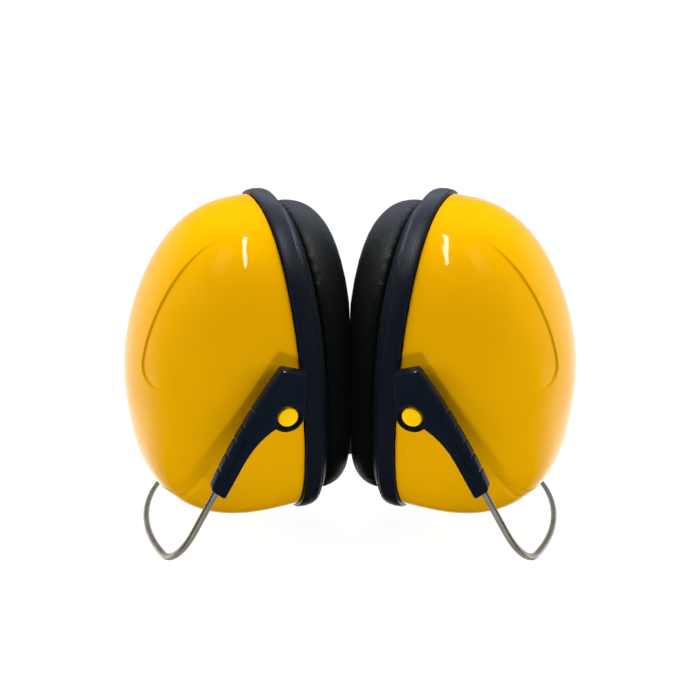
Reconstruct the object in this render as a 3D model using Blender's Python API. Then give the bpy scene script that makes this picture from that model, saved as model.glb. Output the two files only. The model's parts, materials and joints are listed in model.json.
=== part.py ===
"""Earmuff hearing protector with a behind-the-neck spring band, standing with its cups closed.

Lengths are in metres.  The wearer's front is -Y, +Z is up, and the plane x = 0 mirrors the two sides.
Each side is modelled as the left one (at -X); the right one is its mirror image.
A cup's own frame has its origin at the middle of the shell's rim: +x points at the other cup,
+y to the wearer's back and +z along the cup's height.  The dome stands out along -x.
"""

import math

import bmesh
import bpy
from mathutils import Matrix, Vector

MM = 0.001

# Stance of the left cup on the table
CUSHIONS_APART = 1.2 * MM
CUP_RIM_Z = 63.0 * MM
CUP_YAW = math.radians(17.5)
CUP_LEAN = math.radians(8.5)
CUP_PITCH = math.radians(20.5)

# Yellow shell
SHELL_HALF_HEIGHT = 53.7 * MM
SHELL_HALF_WIDTH = 43.0 * MM
SHELL_DEPTH = 48.5 * MM
SHELL_WALL = 2.2 * MM
OVAL_POWER = 2.3
APEX_DROP = 8.3 * MM
TOP_POWER = 1.9
BOTTOM_POWER = 3.0
SIDE_POWER = 2.1

# Black rim ring and the cushion's snap-in plate
RING_OVERHANG = 1.1 * MM
RING_WIDTH = 6.2 * MM
RING_WALL = 8.0 * MM
PLATE_THICKNESS = 2.7 * MM
PLATE_CHAMFER = 3.5 * MM
EAR_HALF_HEIGHT = 33.0 * MM
EAR_HALF_WIDTH = 22.0 * MM

# Ear cushion and sound-absorbing foam
CUSHION_THICKNESS = 6.6 * MM
CUSHION_LEAN = math.radians(2.5)
CUSHION_INSET = 3.2 * MM
# Share of the thickness and of the way from the outer edge to the ear's opening, all round the section
CUSHION_SECTION = (
    (0.00, 0.05),
    (0.30, 0.00),
    (0.65, 0.01),
    (0.88, 0.07),
    (0.98, 0.17),
    (1.00, 0.32),
    (0.98, 0.55),
    (0.88, 0.76),
    (0.62, 0.93),
    (0.28, 1.00),
    (0.00, 0.95),
)
FOAM_FACE_DEPTH = 14.0 * MM

# Arms, in a frame at the pivot: s runs down the wire leg, t towards the cup's rim
PIVOT_OUT = 6.2 * MM
PIVOT_UP = 3.5 * MM
LEG_ANGLE = math.radians(32.0)
LEG_OFFSET = 8.0 * MM
ARM_GAP = 0.5 * MM
ARM_THICKNESS = 4.4 * MM
ARM_MOUTH = 30.6 * MM
ARM_MOUTH_SLANT = 0.7 * MM
ARM_TOP = 12.9 * MM
ARM_TOP_RISE = 1.3 * MM
ARM_TOP_OUT = 0.6 * MM
ARM_TOP_IN = 1.3 * MM
ARM_LIMB_IN = 2.9 * MM
ARM_LIMB_OUT = 2.2 * MM
ARM_BOW = 3.8 * MM
ARM_BOW_DOWN = 10.0 * MM
ARM_WAIST = 19.0 * MM
ARM_WAIST_PULL = 5.7 * MM
ARM_WAIST_ANGLE = math.radians(-18.5)
ARM_HUB_RADIUS = 5.0 * MM
ARM_HEEL_ANGLE = math.radians(116.0)
ARM_CORNER = 1.2 * MM
ARM_BEVEL = 0.8 * MM

# Pivot pins
PIN_RADIUS = 3.0 * MM
PIN_SPIGOT_RADIUS = 1.9 * MM
PIN_SPIGOT_REACH = 1.5 * MM
PIN_CROWN = 0.7 * MM
PIN_CROWN_RADIUS = 1.5 * MM
PIN_BROW = 0.4 * MM
PIN_BROW_RADIUS = 2.6 * MM

# Spring wires
WIRE_RADIUS = 1.05 * MM
WIRE_END = 6.0 * MM
SLIDE_TRAVEL = 8.0 * MM
WIRE_BEND_RADIUS = 20.0 * MM
REAR_LEG_END = 44.0 * MM
REAR_BEND_PULL = 20.0 * MM
REAR_RUN_PULL = 24.0 * MM

# Neckband sleeve
BAND_RADIUS = 78.0 * MM
BAND_CENTRE_Y = 50.0 * MM
SLEEVE_HALF_SPAN = math.radians(50.0)
SLEEVE_HEIGHT = 20.0 * MM
SLEEVE_THICKNESS = 7.0 * MM
SLEEVE_CORNER = 2.0 * MM
SLEEVE_WIRE_EDGE = 5.0 * MM

# Clearances
SEAT_GAP = 0.3 * MM
RUNNING_GAP = 0.3 * MM
FOAM_GAP = 0.7 * MM

# Mesh density
OVAL_POINTS = 36
DOME_LEVELS = 8
TUBE_SIDES = 8
PIN_SIDES = 20
BEND_STEPS = 7
SIDE_STEPS = 9
CURL_STEPS = 4
BAND_STEPS = 16
RUN_STEPS = 12
CORNER_STEPS = 3
CURVE_STEPS = 6
HUB_STEPS = 9
TOUCH_ROUNDS = 8
SHARP_ANGLE = math.radians(35.0)
BEVEL_ANGLE = math.radians(60.0)
JOINT_MARK = 10.0 * MM

COLOURS = {
    "yellow_shell": ((0.87, 0.50, 0.01), 0.22, 0.0),
    "black_ring": ((0.010, 0.011, 0.016), 0.40, 0.0),
    "black_plate": ((0.012, 0.012, 0.014), 0.45, 0.0),
    "black_cushion": ((0.012, 0.012, 0.013), 0.60, 0.0),
    "grey_foam": ((0.10, 0.10, 0.10), 0.95, 0.0),
    "black_arm": ((0.008, 0.008, 0.011), 0.25, 0.0),
    "spring_steel": ((0.55, 0.53, 0.50), 0.30, 1.0),
    "black_sleeve": ((0.015, 0.015, 0.016), 0.50, 0.0),
}

MIRROR = Matrix.Diagonal((-1.0, 1.0, 1.0, 1.0))


def material(name):
    """The named material, made on first use."""
    found = bpy.data.materials.get(name)
    if found:
        return found
    colour, roughness, metallic = COLOURS[name]
    made = bpy.data.materials.new(name)
    made.use_nodes = True
    shader = made.node_tree.nodes["Principled BSDF"]
    shader.inputs["Base Color"].default_value = (*colour, 1.0)
    shader.inputs["Roughness"].default_value = roughness
    shader.inputs["Metallic"].default_value = metallic
    made.diffuse_color = (*colour, 1.0)
    return made


def add_loop(bm, points):
    """Vertices for one closed loop of points."""
    return [bm.verts.new(point) for point in points]


def stitch(bm, first, second):
    """A band of quads between two loops of equal length."""
    for i, corner in enumerate(first):
        j = (i + 1) % len(first)
        bm.faces.new((corner, first[j], second[j], second[i]))


def close_on_point(bm, loop, point):
    """A fan of triangles from a loop to one point."""
    tip = bm.verts.new(point)
    for i, corner in enumerate(loop):
        bm.faces.new((corner, loop[(i + 1) % len(loop)], tip))


def lofted(loops, joined=False):
    """A mesh through loops of points: open ends are filled flat, or joined=True makes a closed ring."""
    bm = bmesh.new()
    rows = [add_loop(bm, points) for points in loops]
    for first, second in zip(rows, rows[1:]):
        stitch(bm, first, second)
    if joined:
        stitch(bm, rows[-1], rows[0])
    else:
        bm.faces.new(rows[0])
        bm.faces.new(rows[-1])
    return bm


def turned(profile, axis_frame, sides):
    """A solid of revolution about the z axis of axis_frame.  profile holds (radius, height) pairs."""
    loops = []
    for radius, height in profile:
        angles = [2.0 * math.pi * k / sides for k in range(sides)]
        loop = [Vector((radius * math.cos(a), radius * math.sin(a), height)) for a in angles]
        loops.append([axis_frame @ point for point in loop])
    return lofted(loops)


def tube(path, radius):
    """A round bar along a path, its section carried along without twist."""
    headings = []
    for i in range(len(path)):
        before = path[max(i - 1, 0)]
        after = path[min(i + 1, len(path) - 1)]
        headings.append((after - before).normalized())
    side = headings[0].orthogonal().normalized()
    loops = []
    for point, heading in zip(path, headings):
        side = (side - heading * side.dot(heading)).normalized()
        up = heading.cross(side)
        angles = [2.0 * math.pi * (k + 0.5) / TUBE_SIDES for k in range(TUBE_SIDES)]
        loops.append([point + side * (radius * math.cos(a)) + up * (radius * math.sin(a)) for a in angles])
    return lofted(loops)


def shade(mesh):
    """Smooth shading that keeps the real edges sharp."""
    mesh.shade_smooth()
    mesh.set_sharp_from_angle(angle=SHARP_ANGLE)


def add_object(name, bm, frame, parent, slot, mirrored=False):
    """A named object from a mesh in frame's coordinates, mirrored to the right side if asked."""
    if mirrored:
        bmesh.ops.transform(bm, matrix=MIRROR, verts=bm.verts)
        frame = MIRROR @ frame @ MIRROR
    bmesh.ops.recalc_face_normals(bm, faces=bm.faces)
    mesh = bpy.data.meshes.new(name)
    bm.to_mesh(mesh)
    bm.free()
    shade(mesh)
    obj = bpy.data.objects.new(name, mesh)
    bpy.context.collection.objects.link(obj)
    mesh.materials.append(material(slot))
    hang(obj, frame, parent)
    return obj


def hang(obj, frame, parent):
    """Place an object at a frame of the stand and parent it without moving it."""
    bpy.context.view_layer.update()
    obj.parent = parent
    obj.matrix_world = frame


def add_empty(name, frame, parent, mirrored=False):
    """A joint's own frame."""
    empty = bpy.data.objects.new(name, None)
    bpy.context.collection.objects.link(empty)
    empty.empty_display_size = JOINT_MARK
    hang(empty, MIRROR @ frame @ MIRROR if mirrored else frame, parent)
    return empty


def cut(obj, bm, name, frame, mirrored=False):
    """Take a cutter's volume out of an object."""
    cutter = add_object(name, bm, frame, obj.parent, "black_plate", mirrored)
    cutter.hide_render = True
    cutter.display_type = "WIRE"
    boolean = obj.modifiers.new(name, "BOOLEAN")
    boolean.operation = "DIFFERENCE"
    boolean.object = cutter


def cup_frame():
    """The left cup's frame on the stand, as far out as brings the cushions together at the middle."""
    lean = Matrix.Rotation(-CUP_LEAN, 4, "Y") @ Matrix.Rotation(CUP_PITCH, 4, "X")
    turn = Matrix.Rotation(CUP_YAW, 4, "Z") @ lean
    reach = max((turn @ point).x for loop in cushion_loops() for point in loop)
    return Matrix.Translation((-reach - 0.5 * CUSHIONS_APART, 0.0, CUP_RIM_Z)) @ turn


def oval_point(angle):
    """A point of the unit oval: (across, up), fuller than an ellipse."""
    up = math.copysign(abs(math.cos(angle)) ** (2.0 / OVAL_POWER), math.cos(angle))
    across = math.copysign(abs(math.sin(angle)) ** (2.0 / OVAL_POWER), math.sin(angle))
    return across, up


def oval_loop(half_height, half_width, x):
    """The cup's oval at one station along its x axis."""
    points = []
    for k in range(OVAL_POINTS):
        across, up = oval_point(2.0 * math.pi * k / OVAL_POINTS)
        points.append(Vector((x, half_width * across, half_height * up)))
    return points


def taper(share, power):
    """Width left at a share of the dome's depth."""
    return max(0.0, 1.0 - share**power) ** (1.0 / power)


def dome_loop(share, inset):
    """The dome's section at a share of its depth; inset moves the whole dome inwards."""
    half_height = SHELL_HALF_HEIGHT - inset
    half_width = (SHELL_HALF_WIDTH - inset) * taper(share, SIDE_POWER)
    depth = (SHELL_DEPTH - inset) * share
    above = (half_height + APEX_DROP) * taper(share, TOP_POWER)
    below = (half_height - APEX_DROP) * taper(share, BOTTOM_POWER)
    rim_share = (1.0 - share) ** 2
    points = []
    for k in range(OVAL_POINTS):
        across, up = oval_point(2.0 * math.pi * k / OVAL_POINTS)
        dropped = -APEX_DROP + up * (above if up > 0.0 else below)
        z = rim_share * half_height * up + (1.0 - rim_share) * dropped
        points.append(Vector((-depth, half_width * across, z)))
    return points


def dome_apex(inset):
    """The outermost point of the dome."""
    return Vector((inset - SHELL_DEPTH, 0.0, -APEX_DROP))


def dome_shares(first):
    """Stations from a first share of the depth to just short of the apex, closer together as it flattens."""
    start = math.asin(first)
    step = (0.5 * math.pi - start) / DOME_LEVELS
    return [math.sin(start + step * level) for level in range(DOME_LEVELS)]


def shell_mesh():
    """Yellow cup: a hollow dome open at its rim."""
    bm = bmesh.new()
    skins = []
    for inset in (0.0, SHELL_WALL):
        rows = [add_loop(bm, dome_loop(share, inset)) for share in dome_shares(0.0)]
        for first, second in zip(rows, rows[1:]):
            stitch(bm, first, second)
        close_on_point(bm, rows[-1], dome_apex(inset))
        skins.append(rows[0])
    stitch(bm, *skins)
    return bm


def foam_mesh():
    """Foam pad that fills the back of the dome."""
    inset = SHELL_WALL + FOAM_GAP
    bm = bmesh.new()
    shares = dome_shares(FOAM_FACE_DEPTH / SHELL_DEPTH)
    rows = [add_loop(bm, dome_loop(share, inset)) for share in shares]
    for first, second in zip(rows, rows[1:]):
        stitch(bm, first, second)
    close_on_point(bm, rows[-1], dome_apex(inset))
    bm.faces.new(rows[0])
    return bm


def inset_oval(inset, x):
    """The cup's oval moved in from the shell's rim."""
    return oval_loop(SHELL_HALF_HEIGHT - inset, SHELL_HALF_WIDTH - inset, x)


def ring_mesh():
    """Black band around the rim, which carries the cushion's plate."""
    near = SEAT_GAP
    far = SEAT_GAP + RING_WIDTH
    return lofted(
        [
            inset_oval(-RING_OVERHANG, near),
            inset_oval(-RING_OVERHANG, far),
            inset_oval(RING_WALL, far),
            inset_oval(RING_WALL, near),
        ],
        joined=True,
    )


def plate_start():
    """Where the cushion's plate meets the ring."""
    return RING_WIDTH + 2.0 * SEAT_GAP


def cushion_start():
    """Where the cushion meets its plate."""
    return plate_start() + PLATE_THICKNESS + SEAT_GAP


def plate_mesh():
    """Snap-in plate behind the cushion, with a chamfered edge and the ear's opening."""
    near = plate_start()
    far = near + PLATE_THICKNESS
    return lofted(
        [
            inset_oval(-RING_OVERHANG, near),
            inset_oval(PLATE_CHAMFER, far),
            oval_loop(EAR_HALF_HEIGHT, EAR_HALF_WIDTH, far),
            oval_loop(EAR_HALF_HEIGHT, EAR_HALF_WIDTH, near),
        ],
        joined=True,
    )


def cushion_loops():
    """Crowned ring of padding, drawn in at its seam, that falls off into the ear's opening.

    It is pressed thinner towards the bottom, where the two cushions bear on each other.
    """
    outer_height = SHELL_HALF_HEIGHT - CUSHION_INSET
    outer_width = SHELL_HALF_WIDTH - CUSHION_INSET
    loops = []
    for rise, inward in CUSHION_SECTION:
        half_height = outer_height + (EAR_HALF_HEIGHT - outer_height) * inward
        half_width = outer_width + (EAR_HALF_WIDTH - outer_width) * inward
        loop = oval_loop(half_height, half_width, cushion_start())
        for point in loop:
            point.x += rise * (CUSHION_THICKNESS + point.z * math.tan(CUSHION_LEAN))
        loops.append(loop)
    return loops


def arm_point(s, t):
    """(x, z) in the cup's frame of a point s down the leg and t towards the rim from the pivot."""
    out = PIVOT_OUT + s * math.sin(LEG_ANGLE) - t * math.cos(LEG_ANGLE)
    up = PIVOT_UP - s * math.cos(LEG_ANGLE) - t * math.sin(LEG_ANGLE)
    return -out, up


def arm_inner_face():
    """Distance from the cup's middle plane to an arm's inner face."""
    return SHELL_HALF_WIDTH + RING_OVERHANG + ARM_GAP


def arm_middle():
    """Distance from the cup's middle plane to the wire in an arm."""
    return arm_inner_face() + 0.5 * ARM_THICKNESS


def leg_point(s, end):
    """A point of a wire leg in the cup's frame; end is -1 at the front and +1 at the rear."""
    x, z = arm_point(s, -LEG_OFFSET)
    return Vector((x, end * arm_middle(), z))


def rounded_corner(corner, before, after, radius):
    """Points of an arc that rounds a corner between two neighbours."""
    into = (before - corner).normalized()
    out = (after - corner).normalized()
    half = 0.5 * math.acos(max(-1.0, min(1.0, into.dot(out))))
    centre = corner + (into + out).normalized() * (radius / math.sin(half))
    first = corner + into * (radius / math.tan(half)) - centre
    last = corner + out * (radius / math.tan(half)) - centre
    return [centre + radius * first.slerp(last, k / CORNER_STEPS) for k in range(CORNER_STEPS + 1)]


def curve(start, pull, end):
    """Points of a smooth curve that leaves its start for a point and arrives from it at its end."""
    shares = [k / CURVE_STEPS for k in range(CURVE_STEPS + 1)]
    return [start.lerp(pull, share).lerp(pull.lerp(end, share), share) for share in shares]


def arm_outline():
    """The arm's face outline as (s, t) points: mouth, limb, round hub, heel, top and bowed outer edge."""
    limb_in = ARM_LIMB_IN - LEG_OFFSET
    waist_end = Vector((ARM_WAIST, limb_in))
    hub_start = ARM_HUB_RADIUS * Vector((math.cos(ARM_WAIST_ANGLE), math.sin(ARM_WAIST_ANGLE)))
    waist_pull = Vector((hub_start.x + ARM_WAIST_PULL, limb_in))
    mouth_in = Vector((ARM_MOUTH + ARM_MOUTH_SLANT, limb_in))
    mouth_out = Vector((ARM_MOUTH - ARM_MOUTH_SLANT, -ARM_LIMB_OUT - LEG_OFFSET))
    top_out = Vector((-ARM_TOP, -ARM_TOP_OUT - LEG_OFFSET))
    top_in = Vector((-ARM_TOP - ARM_TOP_RISE, -ARM_TOP_IN))
    bow = Vector((ARM_BOW_DOWN, -ARM_BOW - LEG_OFFSET))
    points = [mouth_in, *curve(waist_end, waist_pull, hub_start)]
    for k in range(1, HUB_STEPS + 1):
        angle = ARM_WAIST_ANGLE + (ARM_HEEL_ANGLE - ARM_WAIST_ANGLE) * k / HUB_STEPS
        points.append(ARM_HUB_RADIUS * Vector((math.cos(angle), math.sin(angle))))
    points += rounded_corner(top_in, points[-1], top_out, ARM_CORNER)
    points += rounded_corner(top_out, top_in, bow, ARM_CORNER)
    points += curve(points[-1], bow, mouth_out)[1:]
    return points


def arm_mesh(end):
    """One arm as a thick plate beside the cup."""
    inner = end * arm_inner_face()
    outer = end * (arm_inner_face() + ARM_THICKNESS)
    faces = [arm_point(*point) for point in arm_outline()]
    return lofted([[Vector((x, y, z)) for x, z in faces] for y in (inner, outer)])


def pin_axis(end):
    """Frame on the cup's middle plane with +z along a pivot pin."""
    turn = Matrix.Rotation(-end * 0.5 * math.pi, 4, "X")
    return Matrix.Translation((-PIVOT_OUT, 0.0, PIVOT_UP)) @ turn


def wall_reach():
    """Least distance from the cup's middle plane to the shell's outer wall round a pin."""
    return SHELL_HALF_WIDTH * taper((PIVOT_OUT + PIN_RADIUS) / SHELL_DEPTH, SIDE_POWER)


def pin_mesh(end):
    """Pivot pin: a spigot through the shell's wall, a bearing for the arm and a low crowned end."""
    shoulder = SHELL_HALF_WIDTH + SEAT_GAP
    tip = arm_inner_face() + ARM_THICKNESS
    profile = [
        (PIN_SPIGOT_RADIUS, wall_reach() - SHELL_WALL - PIN_SPIGOT_REACH),
        (PIN_SPIGOT_RADIUS, shoulder),
        (PIN_RADIUS, shoulder),
        (PIN_RADIUS, tip),
        (PIN_BROW_RADIUS, tip + PIN_BROW),
        (PIN_CROWN_RADIUS, tip + PIN_CROWN),
    ]
    return turned(profile, pin_axis(end), PIN_SIDES)


def hole_mesh(end, radius):
    """Cutter along a pivot pin."""
    inner = 0.5 * SHELL_HALF_WIDTH
    outer = arm_inner_face() + 2.0 * ARM_THICKNESS
    return turned([(radius, inner), (radius, outer)], pin_axis(end), PIN_SIDES)


def bore_mesh(end):
    """Cutter for the blind bore in which an arm slides down its wire."""
    blind_end = WIRE_END - SLIDE_TRAVEL - RUNNING_GAP
    mouth = ARM_MOUTH + ARM_MOUTH_SLANT + ARM_THICKNESS
    return tube([leg_point(blind_end, end), leg_point(mouth, end)], WIRE_RADIUS + RUNNING_GAP)


def band_point(angle, z):
    """A point of the neckband; angle runs from the middle of the back to the left."""
    return Vector((-BAND_RADIUS * math.sin(angle), BAND_CENTRE_Y + BAND_RADIUS * math.cos(angle), z))


def wire_end_angle():
    """Where a side's wires begin, just clear of the sleeve."""
    return SLEEVE_HALF_SPAN + SEAT_GAP / BAND_RADIUS


def arc_between(corner, into, out, radius):
    """Points of a bend of one radius where two straight runs meet at a corner."""
    turn = 0.5 * into.angle(out)
    setback = radius * math.tan(turn)
    inward = (out - into).normalized()
    centre = corner + inward * (radius / math.cos(turn))
    first = corner - into * setback - centre
    last = corner + out * setback - centre
    return [centre + radius * first.slerp(last, k / BEND_STEPS) for k in range(BEND_STEPS + 1)]


def low_wire_z():
    """Height of the front wires in the sleeve."""
    return SLEEVE_WIRE_EDGE


def high_wire_z():
    """Height of the rear wires in the sleeve."""
    return SLEEVE_HEIGHT - SLEEVE_WIRE_EDGE


def sweep_turn(start):
    """How far round an arc has to turn from a point on the table to run straight back beside the neck."""
    return 2.0 * math.atan2(start.x + BAND_RADIUS, BAND_CENTRE_Y - start.y)


def front_wire_path(frame):
    """From the front arm down its leg, round the bend on the table and back to the sleeve's low bore."""
    top = frame @ leg_point(WIRE_END, -1)
    down = (frame @ leg_point(ARM_MOUTH, -1) - top).normalized()
    corner = top + down * ((top.z - WIRE_RADIUS) / -down.z)
    touch = corner
    for _ in range(TOUCH_ROUNDS):
        turn = sweep_turn(touch)
        leave = Vector((-math.sin(turn), math.cos(turn), 0.0))
        touch = corner + leave * (WIRE_BEND_RADIUS * math.tan(0.5 * down.angle(leave)))
    path = [top, *arc_between(corner, down, leave, WIRE_BEND_RADIUS)]
    lift_from = len(path) - 1
    sweep_radius = (BAND_CENTRE_Y - touch.y) / math.sin(turn)
    for k in range(1, SIDE_STEPS + 1):
        left = turn * (1.0 - k / SIDE_STEPS)
        x = sweep_radius * (1.0 - math.cos(left)) - BAND_RADIUS
        path.append(Vector((x, BAND_CENTRE_Y - sweep_radius * math.sin(left), WIRE_RADIUS)))
    start = 0.5 * math.pi
    for k in range(1, CURL_STEPS + 1):
        angle = start + (wire_end_angle() - start) * k / CURL_STEPS
        path.append(band_point(angle, WIRE_RADIUS))
    lifts = len(path) - 1 - lift_from
    for k in range(1, lifts + 1):
        share = k / lifts
        eased = share * share * (3.0 - 2.0 * share)
        path[lift_from + k].z += (low_wire_z() - WIRE_RADIUS) * eased
    return path


def rear_wire_path(frame):
    """From the rear arm down its leg and in one sweep back to the sleeve's high bore."""
    top = frame @ leg_point(WIRE_END, 1)
    leave = frame @ leg_point(REAR_LEG_END, 1)
    down = (leave - top).normalized()
    arrive = band_point(wire_end_angle(), high_wire_z())
    along = Vector((math.cos(wire_end_angle()), math.sin(wire_end_angle()), 0.0))
    pull_out = leave + down * REAR_BEND_PULL
    pull_in = arrive - along * REAR_RUN_PULL
    path = [top]
    for k in range(RUN_STEPS + 1):
        share = k / RUN_STEPS
        outward = leave.lerp(pull_out, share).lerp(pull_out.lerp(pull_in, share), share)
        inward = pull_out.lerp(pull_in, share).lerp(pull_in.lerp(arrive, share), share)
        path.append(outward.lerp(inward, share))
    return path


def band_path(half_span, z):
    """The neckband's arc, from left to right."""
    return [band_point(half_span * (1.0 - 2.0 * k / BAND_STEPS), z) for k in range(BAND_STEPS + 1)]


def sleeve_mesh():
    """Flattened sleeve round the back of the neck, standing on a flat lower edge."""
    half = 0.5 * SLEEVE_THICKNESS
    corners = [(half, 0.0), (half, SLEEVE_HEIGHT), (-half, SLEEVE_HEIGHT), (-half, 0.0)]
    corners = [Vector(corner) for corner in corners]
    profile = []
    for i, corner in enumerate(corners):
        after = corners[(i + 1) % len(corners)]
        profile += rounded_corner(corner, corners[i - 1], after, SLEEVE_CORNER)
    loops = []
    for k in range(BAND_STEPS + 1):
        angle = SLEEVE_HALF_SPAN * (1.0 - 2.0 * k / BAND_STEPS)
        outward = Vector((-math.sin(angle), math.cos(angle), 0.0))
        loops.append([band_point(angle, point.y) + outward * point.x for point in profile])
    return lofted(loops)


def build_neckband(stand):
    """The sleeve and the middle stretches of the two spring wires that it holds."""
    here = Matrix.Identity(4)
    sleeve = add_object("neckband_sleeve", sleeve_mesh(), here, stand, "black_sleeve")
    overrun = SLEEVE_HALF_SPAN + SLEEVE_THICKNESS / BAND_RADIUS
    for name, z in (("low", low_wire_z()), ("high", high_wire_z())):
        cut(sleeve, tube(band_path(overrun, z), WIRE_RADIUS + SEAT_GAP), f"{name}_wire_bore", here)
        wire = tube(band_path(SLEEVE_HALF_SPAN, z), WIRE_RADIUS)
        add_object(f"neckband_{name}_wire", wire, here, stand, "spring_steel")


def flex_frame():
    """Where the left side springs open: upright, on the outer edge of the sleeve's end."""
    outward = Vector((-math.sin(SLEEVE_HALF_SPAN), math.cos(SLEEVE_HALF_SPAN), 0.0))
    return Matrix.Translation(band_point(SLEEVE_HALF_SPAN, 0.0) + outward * (WIRE_RADIUS + SEAT_GAP))


def build_side(side, stand):
    """One cup with its arms and wires, hung on the frames of its three joints."""
    mirrored = side == "right"
    frame = cup_frame()
    flat = Matrix.Identity(4)
    flex = add_empty(f"{side}_flex_joint", flex_frame(), stand, mirrored)
    leg_frame = frame @ Matrix.Translation(leg_point(0.0, -1))
    slide = add_empty(f"{side}_slide_joint", leg_frame, flex, mirrored)
    pivot_frame = frame @ Matrix.Translation((-PIVOT_OUT, 0.0, PIVOT_UP))
    tilt = add_empty(f"{side}_tilt_joint", pivot_frame, slide, mirrored)

    shell = add_object(f"{side}_cup_shell", shell_mesh(), frame, tilt, "yellow_shell", mirrored)
    add_object(f"{side}_cup_ring", ring_mesh(), frame, tilt, "black_ring", mirrored)
    add_object(f"{side}_cushion_plate", plate_mesh(), frame, tilt, "black_plate", mirrored)
    cushion = lofted(cushion_loops(), joined=True)
    add_object(f"{side}_ear_cushion", cushion, frame, tilt, "black_cushion", mirrored)
    add_object(f"{side}_foam_insert", foam_mesh(), frame, tilt, "grey_foam", mirrored)
    for place, end in (("front", -1), ("rear", 1)):
        add_object(f"{side}_{place}_pivot_pin", pin_mesh(end), frame, tilt, "yellow_shell", mirrored)
        pin_hole = hole_mesh(end, PIN_SPIGOT_RADIUS + SEAT_GAP)
        cut(shell, pin_hole, f"{side}_{place}_pin_hole", frame, mirrored)
        arm = add_object(f"{side}_{place}_arm", arm_mesh(end), frame, slide, "black_arm", mirrored)
        bevel = arm.modifiers.new("edges", "BEVEL")
        bevel.width = ARM_BEVEL
        bevel.segments = 1
        bevel.limit_method = "ANGLE"
        bevel.angle_limit = BEVEL_ANGLE
        cut(arm, hole_mesh(end, PIN_RADIUS + RUNNING_GAP), f"{side}_{place}_hub_hole", frame, mirrored)
        cut(arm, bore_mesh(end), f"{side}_{place}_wire_bore", frame, mirrored)
    for place, path in (("front", front_wire_path(frame)), ("rear", rear_wire_path(frame))):
        wire = tube(path, WIRE_RADIUS)
        add_object(f"{side}_{place}_wire", wire, flat, flex, "spring_steel", mirrored)
    return flex, slide, tilt


def stand_box(objects):
    """Lowest and highest corners of the solids on the stand."""
    bpy.context.view_layer.update()
    low = Vector((math.inf,) * 3)
    high = Vector((-math.inf,) * 3)
    for obj in objects:
        for vertex in obj.data.vertices:
            point = obj.matrix_world @ vertex.co
            for axis in range(3):
                low[axis] = min(low[axis], point[axis])
                high[axis] = max(high[axis], point[axis])
    return low, high


def centre_on_footprint(stand):
    """Bring the origin to the middle of the footprint, on the table."""
    solids = [obj for obj in bpy.data.objects if obj.type == "MESH" and not obj.hide_render]
    low, high = stand_box(solids)
    stand.location = (-0.5 * (low.x + high.x), -0.5 * (low.y + high.y), -low.z)
    bpy.context.view_layer.update()


def report_joints(side, flex, slide, tilt):
    """Print where a side's joints are and which way they go."""
    for empty in (flex, slide, tilt):
        print(empty.name, [round(v, 5) for v in empty.matrix_world.translation])
    inwards = -1.0 if side == "right" else 1.0
    cup = tilt.matrix_world.to_3x3()
    down = cup @ Vector((-inwards * math.sin(LEG_ANGLE), 0.0, -math.cos(LEG_ANGLE)))
    print(side, "slide", [round(v, 5) for v in down])
    print(side, "tilt axis", [round(v, 5) for v in cup @ Vector((0.0, 1.0, 0.0))])


def main():
    """Build the earmuff on the table and centre it on its footprint."""
    for obj in list(bpy.data.objects):
        bpy.data.objects.remove(obj, do_unlink=True)
    stand = add_empty("earmuff", Matrix.Identity(4), None)
    build_neckband(stand)
    joints = {side: build_side(side, stand) for side in ("left", "right")}
    centre_on_footprint(stand)
    for side, frames in joints.items():
        report_joints(side, *frames)


main()
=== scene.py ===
"""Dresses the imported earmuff: yellow cups, black rims and cushions, spring wires, and a white studio.

Lengths are in metres.  The wearer's front is -Y, +Z is up, and the plane x = 0 mirrors the two sides.
A cup's own frame has its origin at the middle of the shell's rim: +x points at the other cup,
+y to the wearer's back and +z along the cup's height.  The dome stands out along -x.
"""

import json
import logging
import math
from dataclasses import dataclass
from enum import Enum
from typing import Any, Callable, Optional, Sequence

import bmesh
import bpy
import numpy as np
from mathutils import Matrix, Vector

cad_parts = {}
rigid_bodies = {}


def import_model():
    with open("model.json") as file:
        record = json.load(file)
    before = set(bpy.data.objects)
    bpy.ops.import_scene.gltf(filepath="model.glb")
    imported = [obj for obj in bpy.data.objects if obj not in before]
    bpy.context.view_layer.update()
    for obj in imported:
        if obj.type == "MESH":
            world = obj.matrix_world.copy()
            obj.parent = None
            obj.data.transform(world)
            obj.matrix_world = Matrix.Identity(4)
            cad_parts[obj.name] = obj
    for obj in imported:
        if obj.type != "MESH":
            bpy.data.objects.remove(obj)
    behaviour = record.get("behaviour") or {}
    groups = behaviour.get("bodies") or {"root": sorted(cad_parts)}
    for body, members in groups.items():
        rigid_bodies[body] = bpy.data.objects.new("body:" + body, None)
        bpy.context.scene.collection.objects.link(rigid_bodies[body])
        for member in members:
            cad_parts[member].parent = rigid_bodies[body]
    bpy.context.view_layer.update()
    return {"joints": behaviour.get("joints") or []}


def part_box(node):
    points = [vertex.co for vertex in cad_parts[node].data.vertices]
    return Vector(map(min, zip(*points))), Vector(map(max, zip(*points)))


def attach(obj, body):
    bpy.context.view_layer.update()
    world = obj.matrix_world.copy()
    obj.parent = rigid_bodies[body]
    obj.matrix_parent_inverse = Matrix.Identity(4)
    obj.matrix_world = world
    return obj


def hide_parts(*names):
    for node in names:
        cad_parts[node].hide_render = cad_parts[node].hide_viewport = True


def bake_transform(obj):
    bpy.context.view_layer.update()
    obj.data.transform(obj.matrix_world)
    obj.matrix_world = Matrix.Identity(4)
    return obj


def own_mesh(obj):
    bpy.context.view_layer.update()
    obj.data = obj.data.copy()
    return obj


MM = 0.001
FULL_TURN = 2.0 * math.pi
QUARTER_TURN = 0.5 * math.pi
TINY = 1e-9
LOG = logging.getLogger("earmuff")

Piece = bpy.types.Object
Socket = bpy.types.NodeSocket
Row = list[Vector]
Colour = tuple[float, float, float]
Spot = tuple[float, float, float]
Span = tuple[float, float]


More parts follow.
